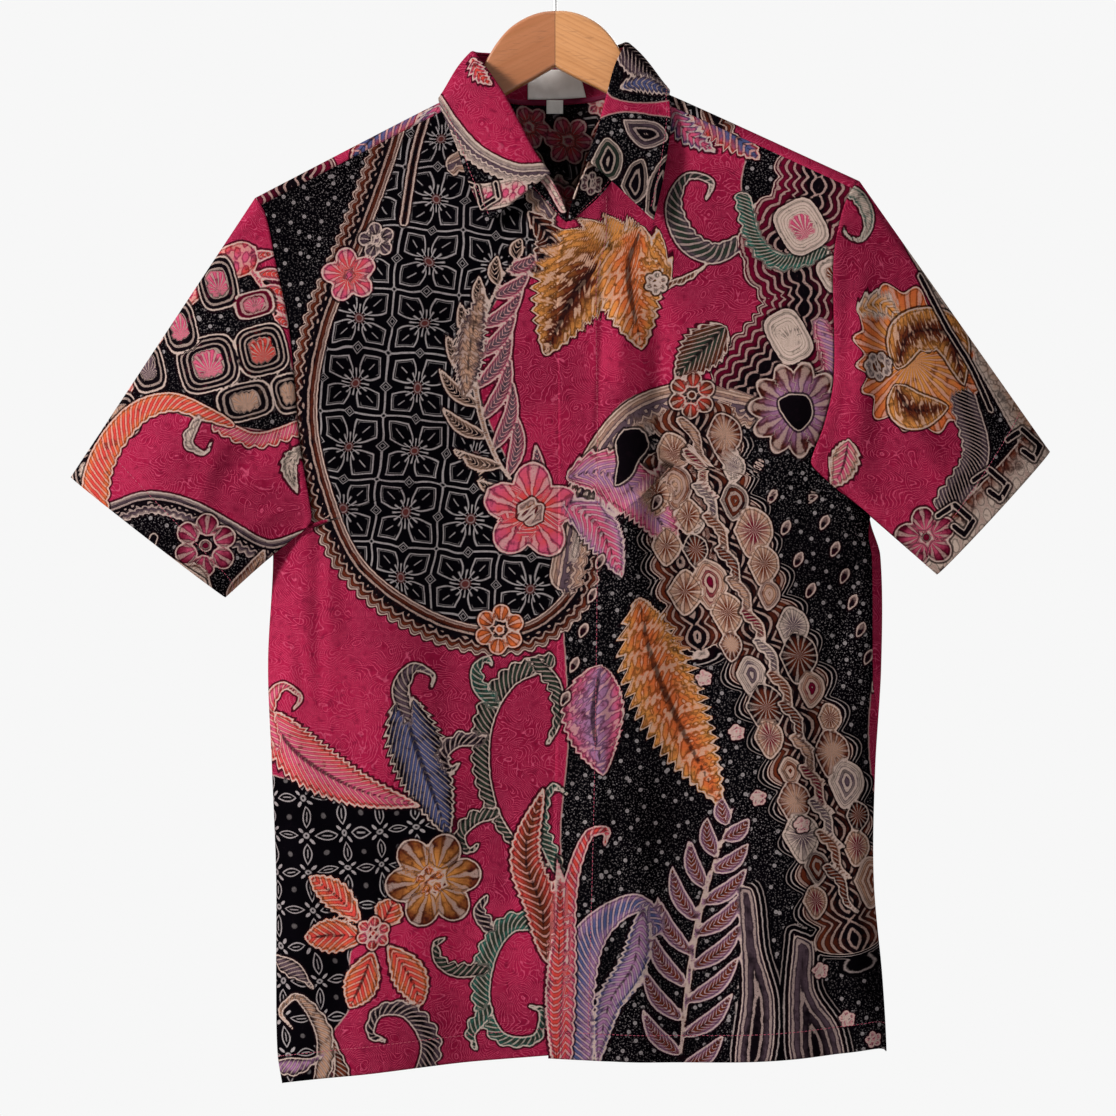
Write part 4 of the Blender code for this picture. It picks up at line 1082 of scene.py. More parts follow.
def printed(obj, x, z, draw, base):
    """Writes the print's ground and layers on a piece's mesh, as seen from the front."""
    x, z = x.ravel(), z.ravel()
    layers = [Print(x, z) for _ in range(3)]
    draw(*layers)
    fields = {"cloth_place": np.stack([x, z, np.zeros_like(x)], axis=-1), "cloth_ground": base(x, z)}
    for name, layer in zip(("band", "bloom", "bit"), layers):
        fields[name + "_form"] = layer.form
        fields[name + "_hue"] = layer.hue
        fields[name + "_tint"] = layer.tint
        fields[name + "_more"] = layer.more
    for name, values in fields.items():
        layer = obj.data.attributes.new(name, "FLOAT_VECTOR", "POINT")
        layer.data.foreach_set("vector", values.astype(np.float32).ravel())


# ==== 4. Materials: small node graphs written as sums
class Wire:
    """A value in a shader, so that its sums read as sums."""

    def __init__(self, shader, socket):
        self.shader, self.socket = shader, socket

    def __add__(self, other):
        return self.shader.math("ADD", self, other)

    def __sub__(self, other):
        return self.shader.math("SUBTRACT", self, other)

    def __mul__(self, other):
        return self.shader.math("MULTIPLY", self, other)

    def __truediv__(self, other):
        return self.shader.math("DIVIDE", self, other)

    def __rsub__(self, other):
        return self.shader.math("SUBTRACT", other, self)

    __radd__ = __add__
    __rmul__ = __mul__


class Shader:
    """A material's node tree, with short ways to add nodes to it."""

    def __init__(self, name):
        self.material = bpy.data.materials.new(name)
        self.material.use_nodes = True
        self.tree = self.material.node_tree
        self.surface = self.tree.nodes["Principled BSDF"]

    def node(self, kind, inputs=(), **settings):
        made = self.tree.nodes.new("ShaderNode" + kind)
        for key, value in settings.items():
            setattr(made, key, value)
        for key, value in dict(inputs).items():
            self.feed(made.inputs[key], value)
        return made

    def feed(self, socket, value):
        if isinstance(value, Wire):
            self.tree.links.new(value.socket, socket)
        elif socket.type == "RGBA" and len(value) == 3:
            socket.default_value = (*value, 1.0)
        else:
            socket.default_value = value

    def math(self, operation, a, b=0.0):
        return Wire(self, self.node("Math", {0: a, 1: b}, operation=operation).outputs[0])

    def lower(self, a, b):
        return self.math("MINIMUM", a, b)

    def upper(self, a, b):
        return self.math("MAXIMUM", a, b)

    def size(self, a):
        return self.math("ABSOLUTE", a)

    def length(self, a, b):
        return self.math("SQRT", a * a + b * b)

    def ramp(self, value, low, high, to_low=0.0, to_high=1.0):
        """A soft step from one value to another."""
        inputs = {0: value, 1: low, 2: high, 3: to_low, 4: to_high}
        return Wire(self, self.node("MapRange", inputs, interpolation_type="SMOOTHSTEP").outputs[0])

    def line(self, phase, width, soft=0.05):
        """One where the phase is near a whole number."""
        return self.ramp(self.math("PINGPONG", phase, 0.5), width + soft, width - soft)

    def near(self, value, middle, half, soft):
        """One where the value lies within half of the middle."""
        return self.ramp(self.size(value - middle), half + soft, half - soft)

    def vector(self, name):
        return Wire(self, self.node("Attribute", attribute_name=name).outputs["Vector"])

    def split(self, vector):
        return [Wire(self, out) for out in self.node("SeparateXYZ", {0: vector}).outputs]

    def parts(self, name):
        """A vector attribute's three values."""
        return self.split(self.vector(name))

    def object_place(self):
        return Wire(self, self.node("TexCoord").outputs["Object"])

    def place(self, a, b, c=0.0):
        return Wire(self, self.node("CombineXYZ", {0: a, 1: b, 2: c}).outputs[0])

    def noise(self, at, scale, detail=2.0, rough=0.5):
        inputs = {"Vector": at, "Scale": scale, "Detail": detail, "Roughness": rough}
        return Wire(self, self.node("TexNoise", inputs).outputs[0])

    def cells(self, at, scale, feature="F1"):
        inputs = {"Vector": at, "Scale": scale}
        made = self.node("TexVoronoi", inputs, feature=feature, voronoi_dimensions="2D")
        return Wire(self, made.outputs["Distance"])

    def mix(self, share, a, b, blend="MIX"):
        made = self.node("Mix", data_type="RGBA", blend_type=blend)
        for key, value in ((0, share), (6, a), (7, b)):
            self.feed(made.inputs[key], value)
        return Wire(self, made.outputs[2])

    def bump(self, height, distance, strength=1.0):
        inputs = {"Height": height, "Distance": distance, "Strength": strength}
        self.feed(self.surface.inputs["Normal"], Wire(self, self.node("Bump", inputs).outputs[0]))

    def set(self, **values):
        for key, value in values.items():
            self.feed(self.surface.inputs[key.replace("_", " ")], value)


LARGE_ROSETTE = (47.0, math.radians(-5), 40.0)  # pitch in mm, tilt, and a shift in whole tiles
SMALL_ROSETTE = (27.0, math.radians(4), 60.0)
DIAGONAL = 0.7071
WEAVE_PITCH = 0.62


def repeat_tile(s, x, z, pitch, tilt, shift):
    """A place within a square tile that repeats, from its middle."""
    across = (x * math.cos(tilt) + z * math.sin(tilt)) / pitch
    up = (z * math.cos(tilt) - x * math.sin(tilt)) / pitch
    return [s.math("FRACT", one + shift) - 0.5 for one in (across, up)]


def big_rosettes(s, x, z):
    """White marks of the large rosettes on black, and their coral hearts."""
    u, v = repeat_tile(s, x, z, *LARGE_ROSETTE)
    a, b = s.size(u), s.size(v)
    edge = 0.5 - s.upper(a, b)
    marks = s.ramp(edge, 0.020, 0.009) * 0.9
    run, over = (a + b) * DIAGONAL, s.size(a - b) * DIAGONAL
    swell = s.math("SQRT", s.upper(run - 0.11, 0.0)) * (0.50 - run * 0.2)
    petal = s.lower(0.585 - run, swell) - over
    marks = s.upper(marks, s.near(petal, 0.022, 0.012, 0.010))
    marks = s.upper(marks, s.near(petal, 0.062, 0.004, 0.008) * 0.6 * s.ramp(run, 0.3, 0.36))
    rib = s.ramp(over, 0.013, 0.004) * s.ramp(run, 0.27, 0.29) * s.ramp(run, 0.44, 0.40)
    marks = s.upper(marks, rib * 0.8)
    r = s.length(u, v)
    ray = s.line(s.math("ARCTAN2", v, u) * (12 / (2 * math.pi)), 0.12, 0.08)
    marks = s.upper(marks, ray * s.ramp(r, 0.07, 0.09) * s.ramp(r, 0.23, 0.20))
    marks = s.upper(marks, s.near(r, 0.055, 0.006, 0.012) * 0.6)
    diamond = s.lower(0.5 - a + b, 0.5 - b + a)
    marks = marks * s.ramp(diamond, 0.085, 0.1)
    marks = s.upper(marks, s.near(diamond, 0.083, 0.007, 0.010))
    marks = s.upper(marks, s.near(diamond, 0.040, 0.006, 0.010) * 0.8)
    ring = s.length(0.5 - a, 0.5 - b)
    marks = marks * s.ramp(ring, 0.03, 0.04)
    marks = s.upper(marks, s.near(ring, 0.035, 0.007, 0.012))
    return marks, s.ramp(r, 0.10, 0.05)


def small_rosettes(s, x, z):
    """White outlined petals, seeds and hearts of the small rosettes, with a faint mark between."""
    u, v = repeat_tile(s, x, z, *SMALL_ROSETTE)
    a, b = s.size(u), s.size(v)
    high, low = s.upper(a, b), s.lower(a, b)
    reach = (0.5 - high) / 0.30
    petal = (1.0 - reach * reach) * 0.125 - low
    marks = s.near(petal, 0.020, 0.016, 0.012)
    marks = s.upper(marks, s.ramp(low, 0.022, 0.010) * s.ramp(reach, 0.5, 0.3) * 0.8)
    run, over = (a + b) * DIAGONAL, s.size(a - b) * DIAGONAL
    seed = s.length((run - 0.2) / 0.10, over / 0.045)
    marks = s.upper(marks, s.ramp(seed, 1.0, 0.7))
    heart = s.length(u, v)
    marks = s.upper(marks, s.near(heart, 0.055, 0.022, 0.02))
    speck = s.length(0.5 - a, 0.5 - b)
    return s.upper(marks, s.ramp(speck, 0.09, 0.05) * 0.28)


def batik(name, faded):
    """The printed cloth: its ground, three layers of wax-drawn motifs, and a plain matt weave."""
    s = Shader(name)
    raw = s.vector("cloth_place")
    x, z, _ = s.parts("cloth_place")
    black, small, large = s.parts("cloth_ground")
    shake = (s.noise(raw, 0.22, 3.0, 0.6) - 0.5) * 1.4
    x2, z2 = x + (s.noise(raw, 0.03, 1.0) - 0.5) * 9.0, z + (s.noise(raw, 0.036, 1.0) - 0.5) * 9.0
    # crimson, with fine tone-on-tone strokes that run round and out
    swirl = s.noise(s.place(x * 0.9, z * 1.1), 0.026, 1.0, 0.4)
    broken = s.noise(raw, 0.16, 2.0)
    strokes = s.line(swirl * 60.0 + broken * 1.6, 0.07, 0.09) * s.ramp(broken, 0.36, 0.5)
    cross = s.line(s.noise(s.place(z * 0.8, x), 0.034, 1.0) * 52.0 + broken, 0.06, 0.09)
    cross = cross * s.ramp(broken, 0.56, 0.46)
    cloud = s.ramp(s.noise(raw, 0.010, 3.0), 0.38, 0.62)
    red = s.mix(cloud, (0.50, 0.018, 0.076), (0.30, 0.010, 0.046))
    red = s.mix(s.upper(strokes, cross) * 0.8, red, (0.84, 0.120, 0.24))
    red = s.mix(s.ramp(broken, 0.55, 0.75) * 0.5, red, (0.18, 0.006, 0.030))
    # black, with rosettes, or with ringed dots and specks
    rosettes, hearts = big_rosettes(s, x2, z2)
    tiny = small_rosettes(s, x2, z2)
    dot = s.cells(raw, 0.085)
    mid = s.cells(raw, 0.21)
    speck = s.cells(raw, 0.5)
    dense = s.ramp(s.noise(raw, 0.016, 2.0), 0.35, 0.65, 0.35, 1.0)
    dots = s.upper(s.near(dot, 0.085, 0.035, 0.03), s.ramp(dot, 0.045, 0.03))
    dots = s.upper(dots, s.ramp(mid, 0.13, 0.08) * 0.55 * dense)
    dots = s.upper(dots, s.ramp(speck, 0.24, 0.12) * 0.34 * dense)
    choose_small = s.ramp(small, -0.5, 0.5)
    choose_large = s.ramp(large, -0.5, 0.5)
    plain = (1.0 - choose_small) * (1.0 - choose_large)
    marks = s.upper(rosettes * choose_large, s.upper(tiny * choose_small, dots * plain))
    worn = s.ramp(s.noise(raw, 0.35, 2.0), 0.3, 0.5, 0.72, 1.0)
    ink = s.mix(s.noise(raw, 0.03, 2.0), (0.0012, 0.0010, 0.0018), (0.0040, 0.0030, 0.0050))
    ink = s.mix(hearts * choose_large * 0.6, ink, (0.20, 0.05, 0.045))
    chalk = s.mix(s.noise(raw, 0.02, 2.0), (0.36, 0.30, 0.31), (0.60, 0.54, 0.54))
    ink = s.mix(marks * worn * 0.9, ink, chalk)
    rim = black + shake
    cloth = s.mix(s.ramp(rim, -0.3, 0.3), red, ink)
    cloth = s.mix(s.near(rim, 0.0, 0.5, 0.35) * 0.8, cloth, (0.56, 0.33, 0.31))
    # motifs, from the broadest to the smallest
    brush = s.noise(raw, 0.11, 3.0, 0.6)
    grit = s.noise(raw, 0.9, 2.0)
    for layer in ("band", "bloom", "bit"):
        far, phase, shade = s.parts(layer + "_form")
        width, rib, _ = s.parts(layer + "_more")
        far = far + shake
        body = s.mix(s.ramp(shade + (brush - 0.5) * 1.1, 0.15, 0.95), s.vector(layer + "_hue"),
                     s.vector(layer + "_tint"))
        body = s.mix(s.ramp(brush, 0.54, 0.68) * 0.6, body, (0.010, 0.005, 0.008))
        wax = s.mix(0.38, (0.74, 0.54, 0.47), s.vector(layer + "_tint"))
        drawn = phase + (brush - 0.5) * 0.5
        veins = s.ramp(s.math("PINGPONG", drawn, 0.5), width + 0.06, width - 0.04)
        body = s.mix(veins * s.ramp(grit, 0.25, 0.45) * 0.85, body, wax)
        shadow = s.near(s.math("PINGPONG", drawn, 0.5), width + 0.1, 0.05, 0.05)
        body = s.mix(shadow * 0.6, body, (0.012, 0.006, 0.009))
        spine = s.ramp(shade, 0.13, 0.05) * s.upper(rib, 0.0)
        body = s.mix(spine * 0.8, body, (0.012, 0.006, 0.008))
        body = s.mix(s.near(far, 0.6, 0.42, 0.3) * 0.92, body, (0.72, 0.54, 0.47))
        body = s.mix(s.near(far, 2.0, 0.35, 0.4) * 0.65, body, (0.008, 0.004, 0.007))
        halo = s.upper(rib * -1.0, 0.0) * s.ramp(far, -9.0, -8.4)
        cloth = s.mix(halo, cloth, (0.0025, 0.0018, 0.003))
        rings = s.upper(s.near(far, -3.0, 0.45, 0.35), s.near(far, -6.6, 0.35, 0.35) * 0.7) * halo
        cloth = s.mix(rings, cloth, (0.50, 0.40, 0.38))
        cloth = s.mix(s.ramp(far, -1.7, -1.0) * 0.85, cloth, (0.008, 0.003, 0.005))
        cloth = s.mix(s.ramp(far, -0.15, 0.15), cloth, body)
    # the wax's fine cracks, uneven dye, and the weave
    crack = s.cells(s.place(x2 + brush * 9.0, z2 + grit * 1.2), 0.07, "DISTANCE_TO_EDGE")
    cloth = s.mix(s.ramp(crack, 0.016, 0.004) * s.ramp(brush, 0.45, 0.6) * 0.35, cloth, (0.012, 0.006, 0.009))
    depth = s.mix(s.noise(raw, 0.02, 3.0), (0.32, 0.31, 0.315), (0.46, 0.46, 0.46))
    cloth = s.mix(1.0, cloth, depth, "MULTIPLY")
    turn = 2 * math.pi / WEAVE_PITCH
    weave = s.math("SINE", x * turn) * s.math("SINE", z * turn)
    slub = s.noise(s.place(x * 0.12, z * 2.2), 1.0, 2.0) + s.noise(s.place(x * 2.2, z * 0.12), 1.0, 2.0)
    cloth = s.mix(s.ramp(slub, 0.85, 1.2) * 0.16, cloth, (0.0, 0.0, 0.0))
    if faded:
        cloth = s.mix(0.12, cloth, (0.010, 0.006, 0.006))
    s.set(Base_Color=cloth, Roughness=s.ramp(slub, 0.8, 1.2, 0.62, 0.78))
    s.set(Specular_IOR_Level=0.0)
    s.bump(weave * 0.5 + slub * 0.8 + s.noise(raw, 0.06, 3.0) * 6.0, 0.00012, 0.9)
    return s.material


def woven(name, colour, shade, thread=0.5):
    """Plain woven tape, such as a label, with its ribs, a painted highlight on their crests, and a little
    dust.
    """
    s = Shader(name)
    at = s.object_place()
    x, _, z = s.split(at)
    turn = 2 * math.pi / (thread * MM)
    rib = s.math("SINE", x * turn) + s.math("SINE", z * turn)
    cloud = s.noise(at, 90.0, 3.0)
    look = s.mix(s.ramp(cloud, 0.35, 0.65), colour, shade)
    # painted highlight: the colour is lightened on the crests of the ribs
    look = s.mix(s.ramp(rib, 0.2, 1.6) * 0.5, look, tuple(min(1.35 * c, 0.9) for c in colour))
    s.set(Base_Color=look, Roughness=0.75, Sheen_Weight=0.02, Specular_IOR_Level=0.1)
    s.bump(rib * 0.4 + cloud * 2.0, 0.0001, 0.8)
    return s.material


def varnished_wood(name):
    """Tan wood under varnish: grain along the arms, the two halves of different boards with shifted grain,
    painted shade on the left half and painted light on the right half, a glued joint.
    """
    s = Shader(name)
    x, y, z = s.split(s.object_place())
    # one on the right half: it shifts the grain there, and picks the right half's painted light over the left
    # half's painted shade
    side = s.ramp(x, -0.0004, 0.0004)
    along_arm = s.place(x * 14.0 + side * 3.0, y * 120.0, (z + s.size(x) * 0.5) * 190.0)
    grain = s.noise(along_arm, 1.0, 5.0, 0.62)
    rings = s.line((z + s.size(x) * 0.5 + y * 0.3) * 260.0 + grain * 3.0, 0.13, 0.2)
    pores = s.ramp(s.noise(s.place(x * 60.0, y * 900.0, z * 900.0), 1.0, 2.0), 0.6, 0.72)
    # painted shade and painted light: darker tones for the left half, lighter tones for the right half, of
    # the same wood
    shaded_half_wood = s.mix(grain, (0.21, 0.068, 0.024), (0.29, 0.108, 0.042))
    light = s.mix(grain, (0.32, 0.13, 0.044), (0.42, 0.20, 0.078))
    look = s.mix(side, shaded_half_wood, light)
    look = s.mix(rings * 0.4, look, (0.20, 0.075, 0.022))
    look = s.mix(pores * 0.35, look, (0.12, 0.045, 0.015))
    look = s.mix(s.near(x, 0.0, 0.00025, 0.0002) * 0.8, look, (0.06, 0.025, 0.01))
    s.set(Base_Color=look, Roughness=s.ramp(grain, 0.3, 0.7, 0.32, 0.46))
    s.set(Coat_Weight=0.35, Coat_Roughness=0.2, Specular_IOR_Level=0.45)
    s.bump(grain * 0.6 - pores * 0.8, 0.0002, 0.5)
    return s.material


def bright_steel(name):
    """Polished wire with faint lengthwise drawing marks and a few dull spots."""
    s = Shader(name)
    at = s.object_place()
    dull = s.noise(at, 140.0, 3.0)
    scratch = s.noise(at, 1800.0, 2.0)
    s.set(Base_Color=s.mix(dull, (0.62, 0.61, 0.60), (0.80, 0.79, 0.78)), Metallic=1.0)
    s.set(Roughness=s.ramp(dull + scratch * 0.3, 0.4, 0.9, 0.14, 0.32))
    s.bump(scratch, 0.00002, 0.4)
    return s.material


def thread(name, colour):
    """Twisted sewing thread."""
    s = Shader(name)
    at = s.object_place()
    twist = s.noise(at, 3200.0, 1.0)
    s.set(Base_Color=s.mix(twist, colour, tuple(0.45 * c for c in colour)), Roughness=0.6)
    s.set(Sheen_Weight=0.2)
    s.bump(twist, 0.00005, 0.6)
    return s.material


def plain_floor(name):
    s = Shader(name)
    at = s.object_place()
    s.set(Base_Color=s.mix(s.noise(at, 3.0, 3.0), (0.66, 0.66, 0.655), (0.70, 0.70, 0.695)), Roughness=0.9)
    return s.material


CLOTH_FACE = batik("batik_cloth", False)
CLOTH_BACK = batik("batik_reverse", True)
LABEL_WEAVE = woven("label_weave", (0.56, 0.54, 0.52), (0.66, 0.64, 0.62))
TAG_WEAVE = woven("tag_weave", (0.78, 0.77, 0.74), (0.66, 0.65, 0.62), 0.4)
MAROON_BINDING = woven("maroon_binding", (0.075, 0.004, 0.018), (0.11, 0.006, 0.026), 0.6)
WOOD = varnished_wood("varnished_wood")
STEEL = bright_steel("hook_steel")
RED_THREAD = thread("red_thread", (0.30, 0.01, 0.05))
WHITE_THREAD = thread("white_thread", (0.6, 0.6, 0.58))


# ==== 5. Pieces
def add_object(name, data):
    obj = bpy.data.objects.new(name, data)
    bpy.context.scene.collection.objects.link(obj)
    return obj


def grid_object(name, net, looks, closed=False, flip=False):
    """A smooth mesh through a net of points in millimetres; closed joins the ends of each row."""
    rows, columns = net.shape[:2]
    index = np.arange(rows * columns).reshape(rows, columns)
    right = np.roll(index, -1, axis=1) if closed else index[:, 1:]
    left = index if closed else index[:, :-1]
    corners = (left[:-1], right[:-1], right[1:], left[1:])
    faces = np.stack(corners[::-1] if flip else corners, axis=-1).reshape(-1, 4)
    mesh = bpy.data.meshes.new(name)
    mesh.from_pydata((net.reshape(-1, 3) * MM).tolist(), [], faces.tolist())
    mesh.shade_smooth()
    for look in looks:
        mesh.materials.append(look)
    return add_object(name, mesh)


def add_wall(obj, wall):
    """Gives a sheet its thickness, inwards from its outer face."""
    shell = obj.modifiers.new("wall", "SOLIDIFY")
    shell.thickness = wall * MM
    shell.offset = -1.0
    return shell


def cloth(name, net, draw, base, closed=False, flip=False, wall=CLOTH, print_x=1.0):
    """A thin sheet of the printed cloth, its reverse faded."""
    obj = grid_object(name, net, (CLOTH_FACE, CLOTH_BACK), closed, flip)
    printed(obj, net[..., 0] * print_x, net[..., 2], draw, base)
    add_wall(obj, wall).material_offset = 1
    return obj


def slab(name, net, look, wall):
    """A thin sheet of one look."""
    obj = grid_object(name, net, (look,))
    add_wall(obj, wall)
    return obj


def finish_piece(obj, slot_name, *nodes):
    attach(obj, "root")
    if nodes:
        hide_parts(*nodes)


def read_net(net, rows, columns):
    """Points at fractional rows and columns of a net."""
    rows = np.clip(rows, 0, net.shape[0] - 1.001)
    columns = np.clip(columns, 0, net.shape[1] - 1.001)
    r, c = np.floor(rows).astype(int), np.floor(columns).astype(int)
    fr, fc = (rows - r)[:, None], (columns - c)[:, None]
    near = net[r, c] * (1 - fc) + net[r, c + 1] * fc
    far = net[r + 1, c] * (1 - fc) + net[r + 1, c + 1] * fc
    return near * (1 - fr) + far * fr


def net_normals(net, flip):
    down, over = np.gradient(net, axis=0), np.gradient(net, axis=1)
    out = np.cross(down, over) * (1 if flip else -1)
    return out / np.maximum(np.linalg.norm(out, axis=2, keepdims=True), 1e-9)


STITCH_PROFILE = ((0.0, -0.1, 0.45), (0.25, 0.16, 1.0), (0.75, 0.16, 1.0), (1.0, -0.1, 0.45))
STITCH_ANGLES = (0, 1.257, 2.513, 3.77, 5.027)


def stitches(name, net, rows, columns, look, flip=False, step=3.1, long=2.2, thick=0.42):
    """A row of lockstitches along a path on a net, each a short spindle that dips at both ends."""
    path = read_net(net, rows, columns)
    out = read_net(net_normals(net, flip), rows, columns)
    reach = np.concatenate([[0.0], np.cumsum(np.linalg.norm(np.diff(path, axis=0), axis=1))])
    mesh = bmesh.new()
    for k in range(int(reach[-1] / step)):
        middle = (k + 0.5) * step
        ends = [np.array([np.interp(middle + d, reach, path[:, a]) for a in range(3)])
                for d in (-long / 2, 0.0, long / 2)]
        normal = np.array([np.interp(middle, reach, out[:, a]) for a in range(3)])
        ahead = ends[2] - ends[0]
        side = np.cross(normal, ahead)
        side /= max(np.linalg.norm(side), 1e-9)
        rings = []
        for share, lift, swell in STITCH_PROFILE:
            centre = ends[0] + ahead * share + normal * lift
            round_it = [side * math.cos(t) + normal * math.sin(t) for t in STITCH_ANGLES]
            thin = thick / 2 * swell
            rings.append([mesh.verts.new(Vector((centre + thin * way) * MM)) for way in round_it])
        for first, second in zip(rings, rings[1:]):
            for j in range(len(STITCH_ANGLES)):
                mesh.faces.new((first[j - 1], first[j], second[j], second[j - 1]))
        mesh.faces.new(rings[0][::-1])
        mesh.faces.new(rings[-1])
    data = bpy.data.meshes.new(name)
    mesh.normal_update()
    bmesh.ops.recalc_face_normals(mesh, faces=mesh.faces)
    mesh.to_mesh(data)
    mesh.free()
    data.shade_smooth()
    data.materials.append(look)
    obj = add_object(name, data)
    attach(obj, "root")
    return obj


nets = {
    "front_right": front_net(RIGHT),
    "front_left": front_net(LEFT),
    "back": back_net(),
    "fly_strip": fly_net(),
    "collar_stand": stand_net(),
    "collar_leaf": leaf_net(),
    "sleeve_right": sleeve_net(RIGHT),
    "sleeve_left": sleeve_net(LEFT),
}
front_right = cloth("cloth_front_right", nets["front_right"], draw_front, front_ground, flip=True)
front_left = cloth("cloth_front_left", nets["front_left"], draw_front, front_ground, flip=True)
back = cloth("cloth_back", nets["back"], draw_back, back_ground, print_x=-1.0)
fly_strip = cloth("cloth_fly", nets["fly_strip"], draw_front, front_ground, flip=True)
collar_stand = cloth("cloth_collar_stand", nets["collar_stand"], draw_stand, stand_ground, flip=True,
                     wall=COLLAR_CLOTH)
collar_leaf = cloth("cloth_collar_leaf", nets["collar_leaf"], draw_collar, collar_ground, wall=COLLAR_CLOTH)
sleeve_right = cloth("cloth_sleeve_right", nets["sleeve_right"], draw_sleeve_right, sleeve_right_ground,
                     closed=True, flip=True)
sleeve_left = cloth("cloth_sleeve_left", nets["sleeve_left"], draw_sleeve_left, sleeve_left_ground,
                    closed=True)

for sheet, print_name, node in (
    (front_right, "front_right", "front_right"),
    (front_left, "front_left", "front_left"),
    (back, "back", "back"),
    (fly_strip, "fly", "fly_strip"),
    (collar_stand, "collar_stand", "collar_stand"),
    (collar_leaf, "collar_leaf", "collar_leaf"),
    (sleeve_right, "sleeve_right", "sleeve_right"),
    (sleeve_left, "sleeve_left", "sleeve_left"),
):
    finish_piece(sheet, "batik_" + print_name, node)

# ---- the hanger
ARM_NECK = (
    (0, -62, -104), (9, -62.6, -109), (18, -65, -114), (27, -69.3, -118.6),
    (36, -76, -123.5), (45, -87, -128.5), (53, -101, -133), (62, -118, -139),
    (72, -131.5, -146), (84, -135, -154),
)
ARM_OUTER = (
    (100, 25), (125, 26.5), (150, 26.5), (175, 25.5), (195, 24), (206, 20), (212, 13),
)
ARM_CLEARANCE = 3.5
ARM_THICKNESS = ((0, 12.5), (150, 12.5), (212, 10.5))
ARM_CORNER = 3.4
ARM_SLICES = (57, 52)  # from the middle to the arch's end, and from there to the tip
CORNER_STEPS = 6
HOOK_RADIUS, WIRE_RADIUS = 22, 1.6
HOOK_TURN = (-50, 205)
SHANK_TOP = -53.0
BEND_STEPS = 60
TIP_SHARES = (0.93, 0.72)


def hanger_wood():
    """Both arms and the arch between them, through upright slices with rounded corners."""
    tops = [float(ridge_z(x)) - x * TILT - ARM_CLEARANCE for x, _ in ARM_OUTER]
    half = [*ARM_NECK, *((x, top, top - height) for (x, height), top in zip(ARM_OUTER, tops))]
    arch_end, tip = ARM_NECK[-1][0], ARM_OUTER[-1][0]
    inner, outer = ARM_SLICES
    x = np.concatenate([np.linspace(0.0, arch_end, inner)[:-1], np.linspace(arch_end, tip, outer)])
    top, foot = (along(half, x, column) for column in (1, 2))
    thick = along(ARM_THICKNESS, x) / 2
    x, top, foot, thick = (np.concatenate([sign * v[:0:-1], v]) for sign, v in
                           ((-1, x), (1, top), (1, foot), (1, thick)))
    corner = np.linspace(0.0, math.pi / 2, CORNER_STEPS)
    ring = []
    for turn, (across, up) in enumerate(((1, 1), (-1, 1), (-1, -1), (1, -1))):
        angle = corner + turn * math.pi / 2
        edge = np.where(up > 0, top - ARM_CORNER, foot + ARM_CORNER)[:, None]
        y = across * (thick - ARM_CORNER)[:, None] + ARM_CORNER * np.cos(angle)[None, :]
        ring.append(np.stack([y, edge + ARM_CORNER * np.sin(angle)[None, :]], axis=-1))
    ring = np.concatenate(ring, axis=1)
    centre = np.broadcast_to(x[:, None], ring.shape[:2])
    net = np.stack([centre, ring[..., 0] + sweep_y(centre, 0.0), ring[..., 1] + centre * TILT], axis=-1)
    obj = grid_object("wood_hanger", net, (WOOD,), closed=True, flip=True)
    data = bmesh.new()
    data.from_mesh(obj.data)
    bmesh.ops.holes_fill(data, edges=[edge for edge in data.edges if edge.is_boundary])
    bmesh.ops.recalc_face_normals(data, faces=data.faces)
    data.to_mesh(obj.data)
    data.free()
    return obj


def wire_hook():
    """The bent wire, drawn as a smooth path with a rounded tip."""
    centre_z = WIRE_RADIUS - HOOK_RADIUS
    low, high = (math.radians(angle) for angle in HOOK_TURN)
    shank = [(0.0, ARM_NECK[0][1] + 0.3), (0.0, SHANK_TOP)]
    bend = [(HOOK_RADIUS * math.cos(a), centre_z + HOOK_RADIUS * math.sin(a))
            for a in np.linspace(low, high, BEND_STEPS)]
    wire = bpy.data.curves.new("steel_hook", "CURVE")
    wire.dimensions = "3D"
    wire.bevel_depth = WIRE_RADIUS * MM
    wire.bevel_resolution = 6
    wire.use_fill_caps = True
    spline = wire.splines.new("POLY")
    points = shank + bend
    spline.points.add(len(points) - 1)
    for knot, (x, z) in zip(spline.points, points):
        knot.co = (x * MM, 0.0, z * MM, 1.0)
    for knot, share in zip(list(spline.points)[-2:], TIP_SHARES):
        knot.radius = share
    wire.materials.append(STEEL)
    return add_object("steel_hook", wire)


# ---- inside the collar
LABEL = (11.18, 12.97, 0.12, 0.73)
SIZE_TAG = (-6.5, 6.0, -136.0, -131.5)
TAG_TUCK = 5.7
TAG_PROUD = 2.4
LABEL_PROUD = 1.2
BINDING = (8.6, 15.4, 0.02, 0.10)


def label_net(first, last, low, high, off, columns=36, rows=14, wave=0.35):
    """A patch of the stand's inside, lifted off it towards the front."""
    seam, top = stand_lines(np.linspace(first, last, columns), STATION_STEPS * 12)
    h = np.linspace(low, high, rows)[:, None, None]
    net = seam[None] * (1 - h) + top[None] * h
    ripple = np.sin(np.linspace(0, 9, columns))[None, :] * np.linspace(1, 0.2, rows)[:, None]
    net[..., 1] -= off + wave * ripple * 0.5
    return net


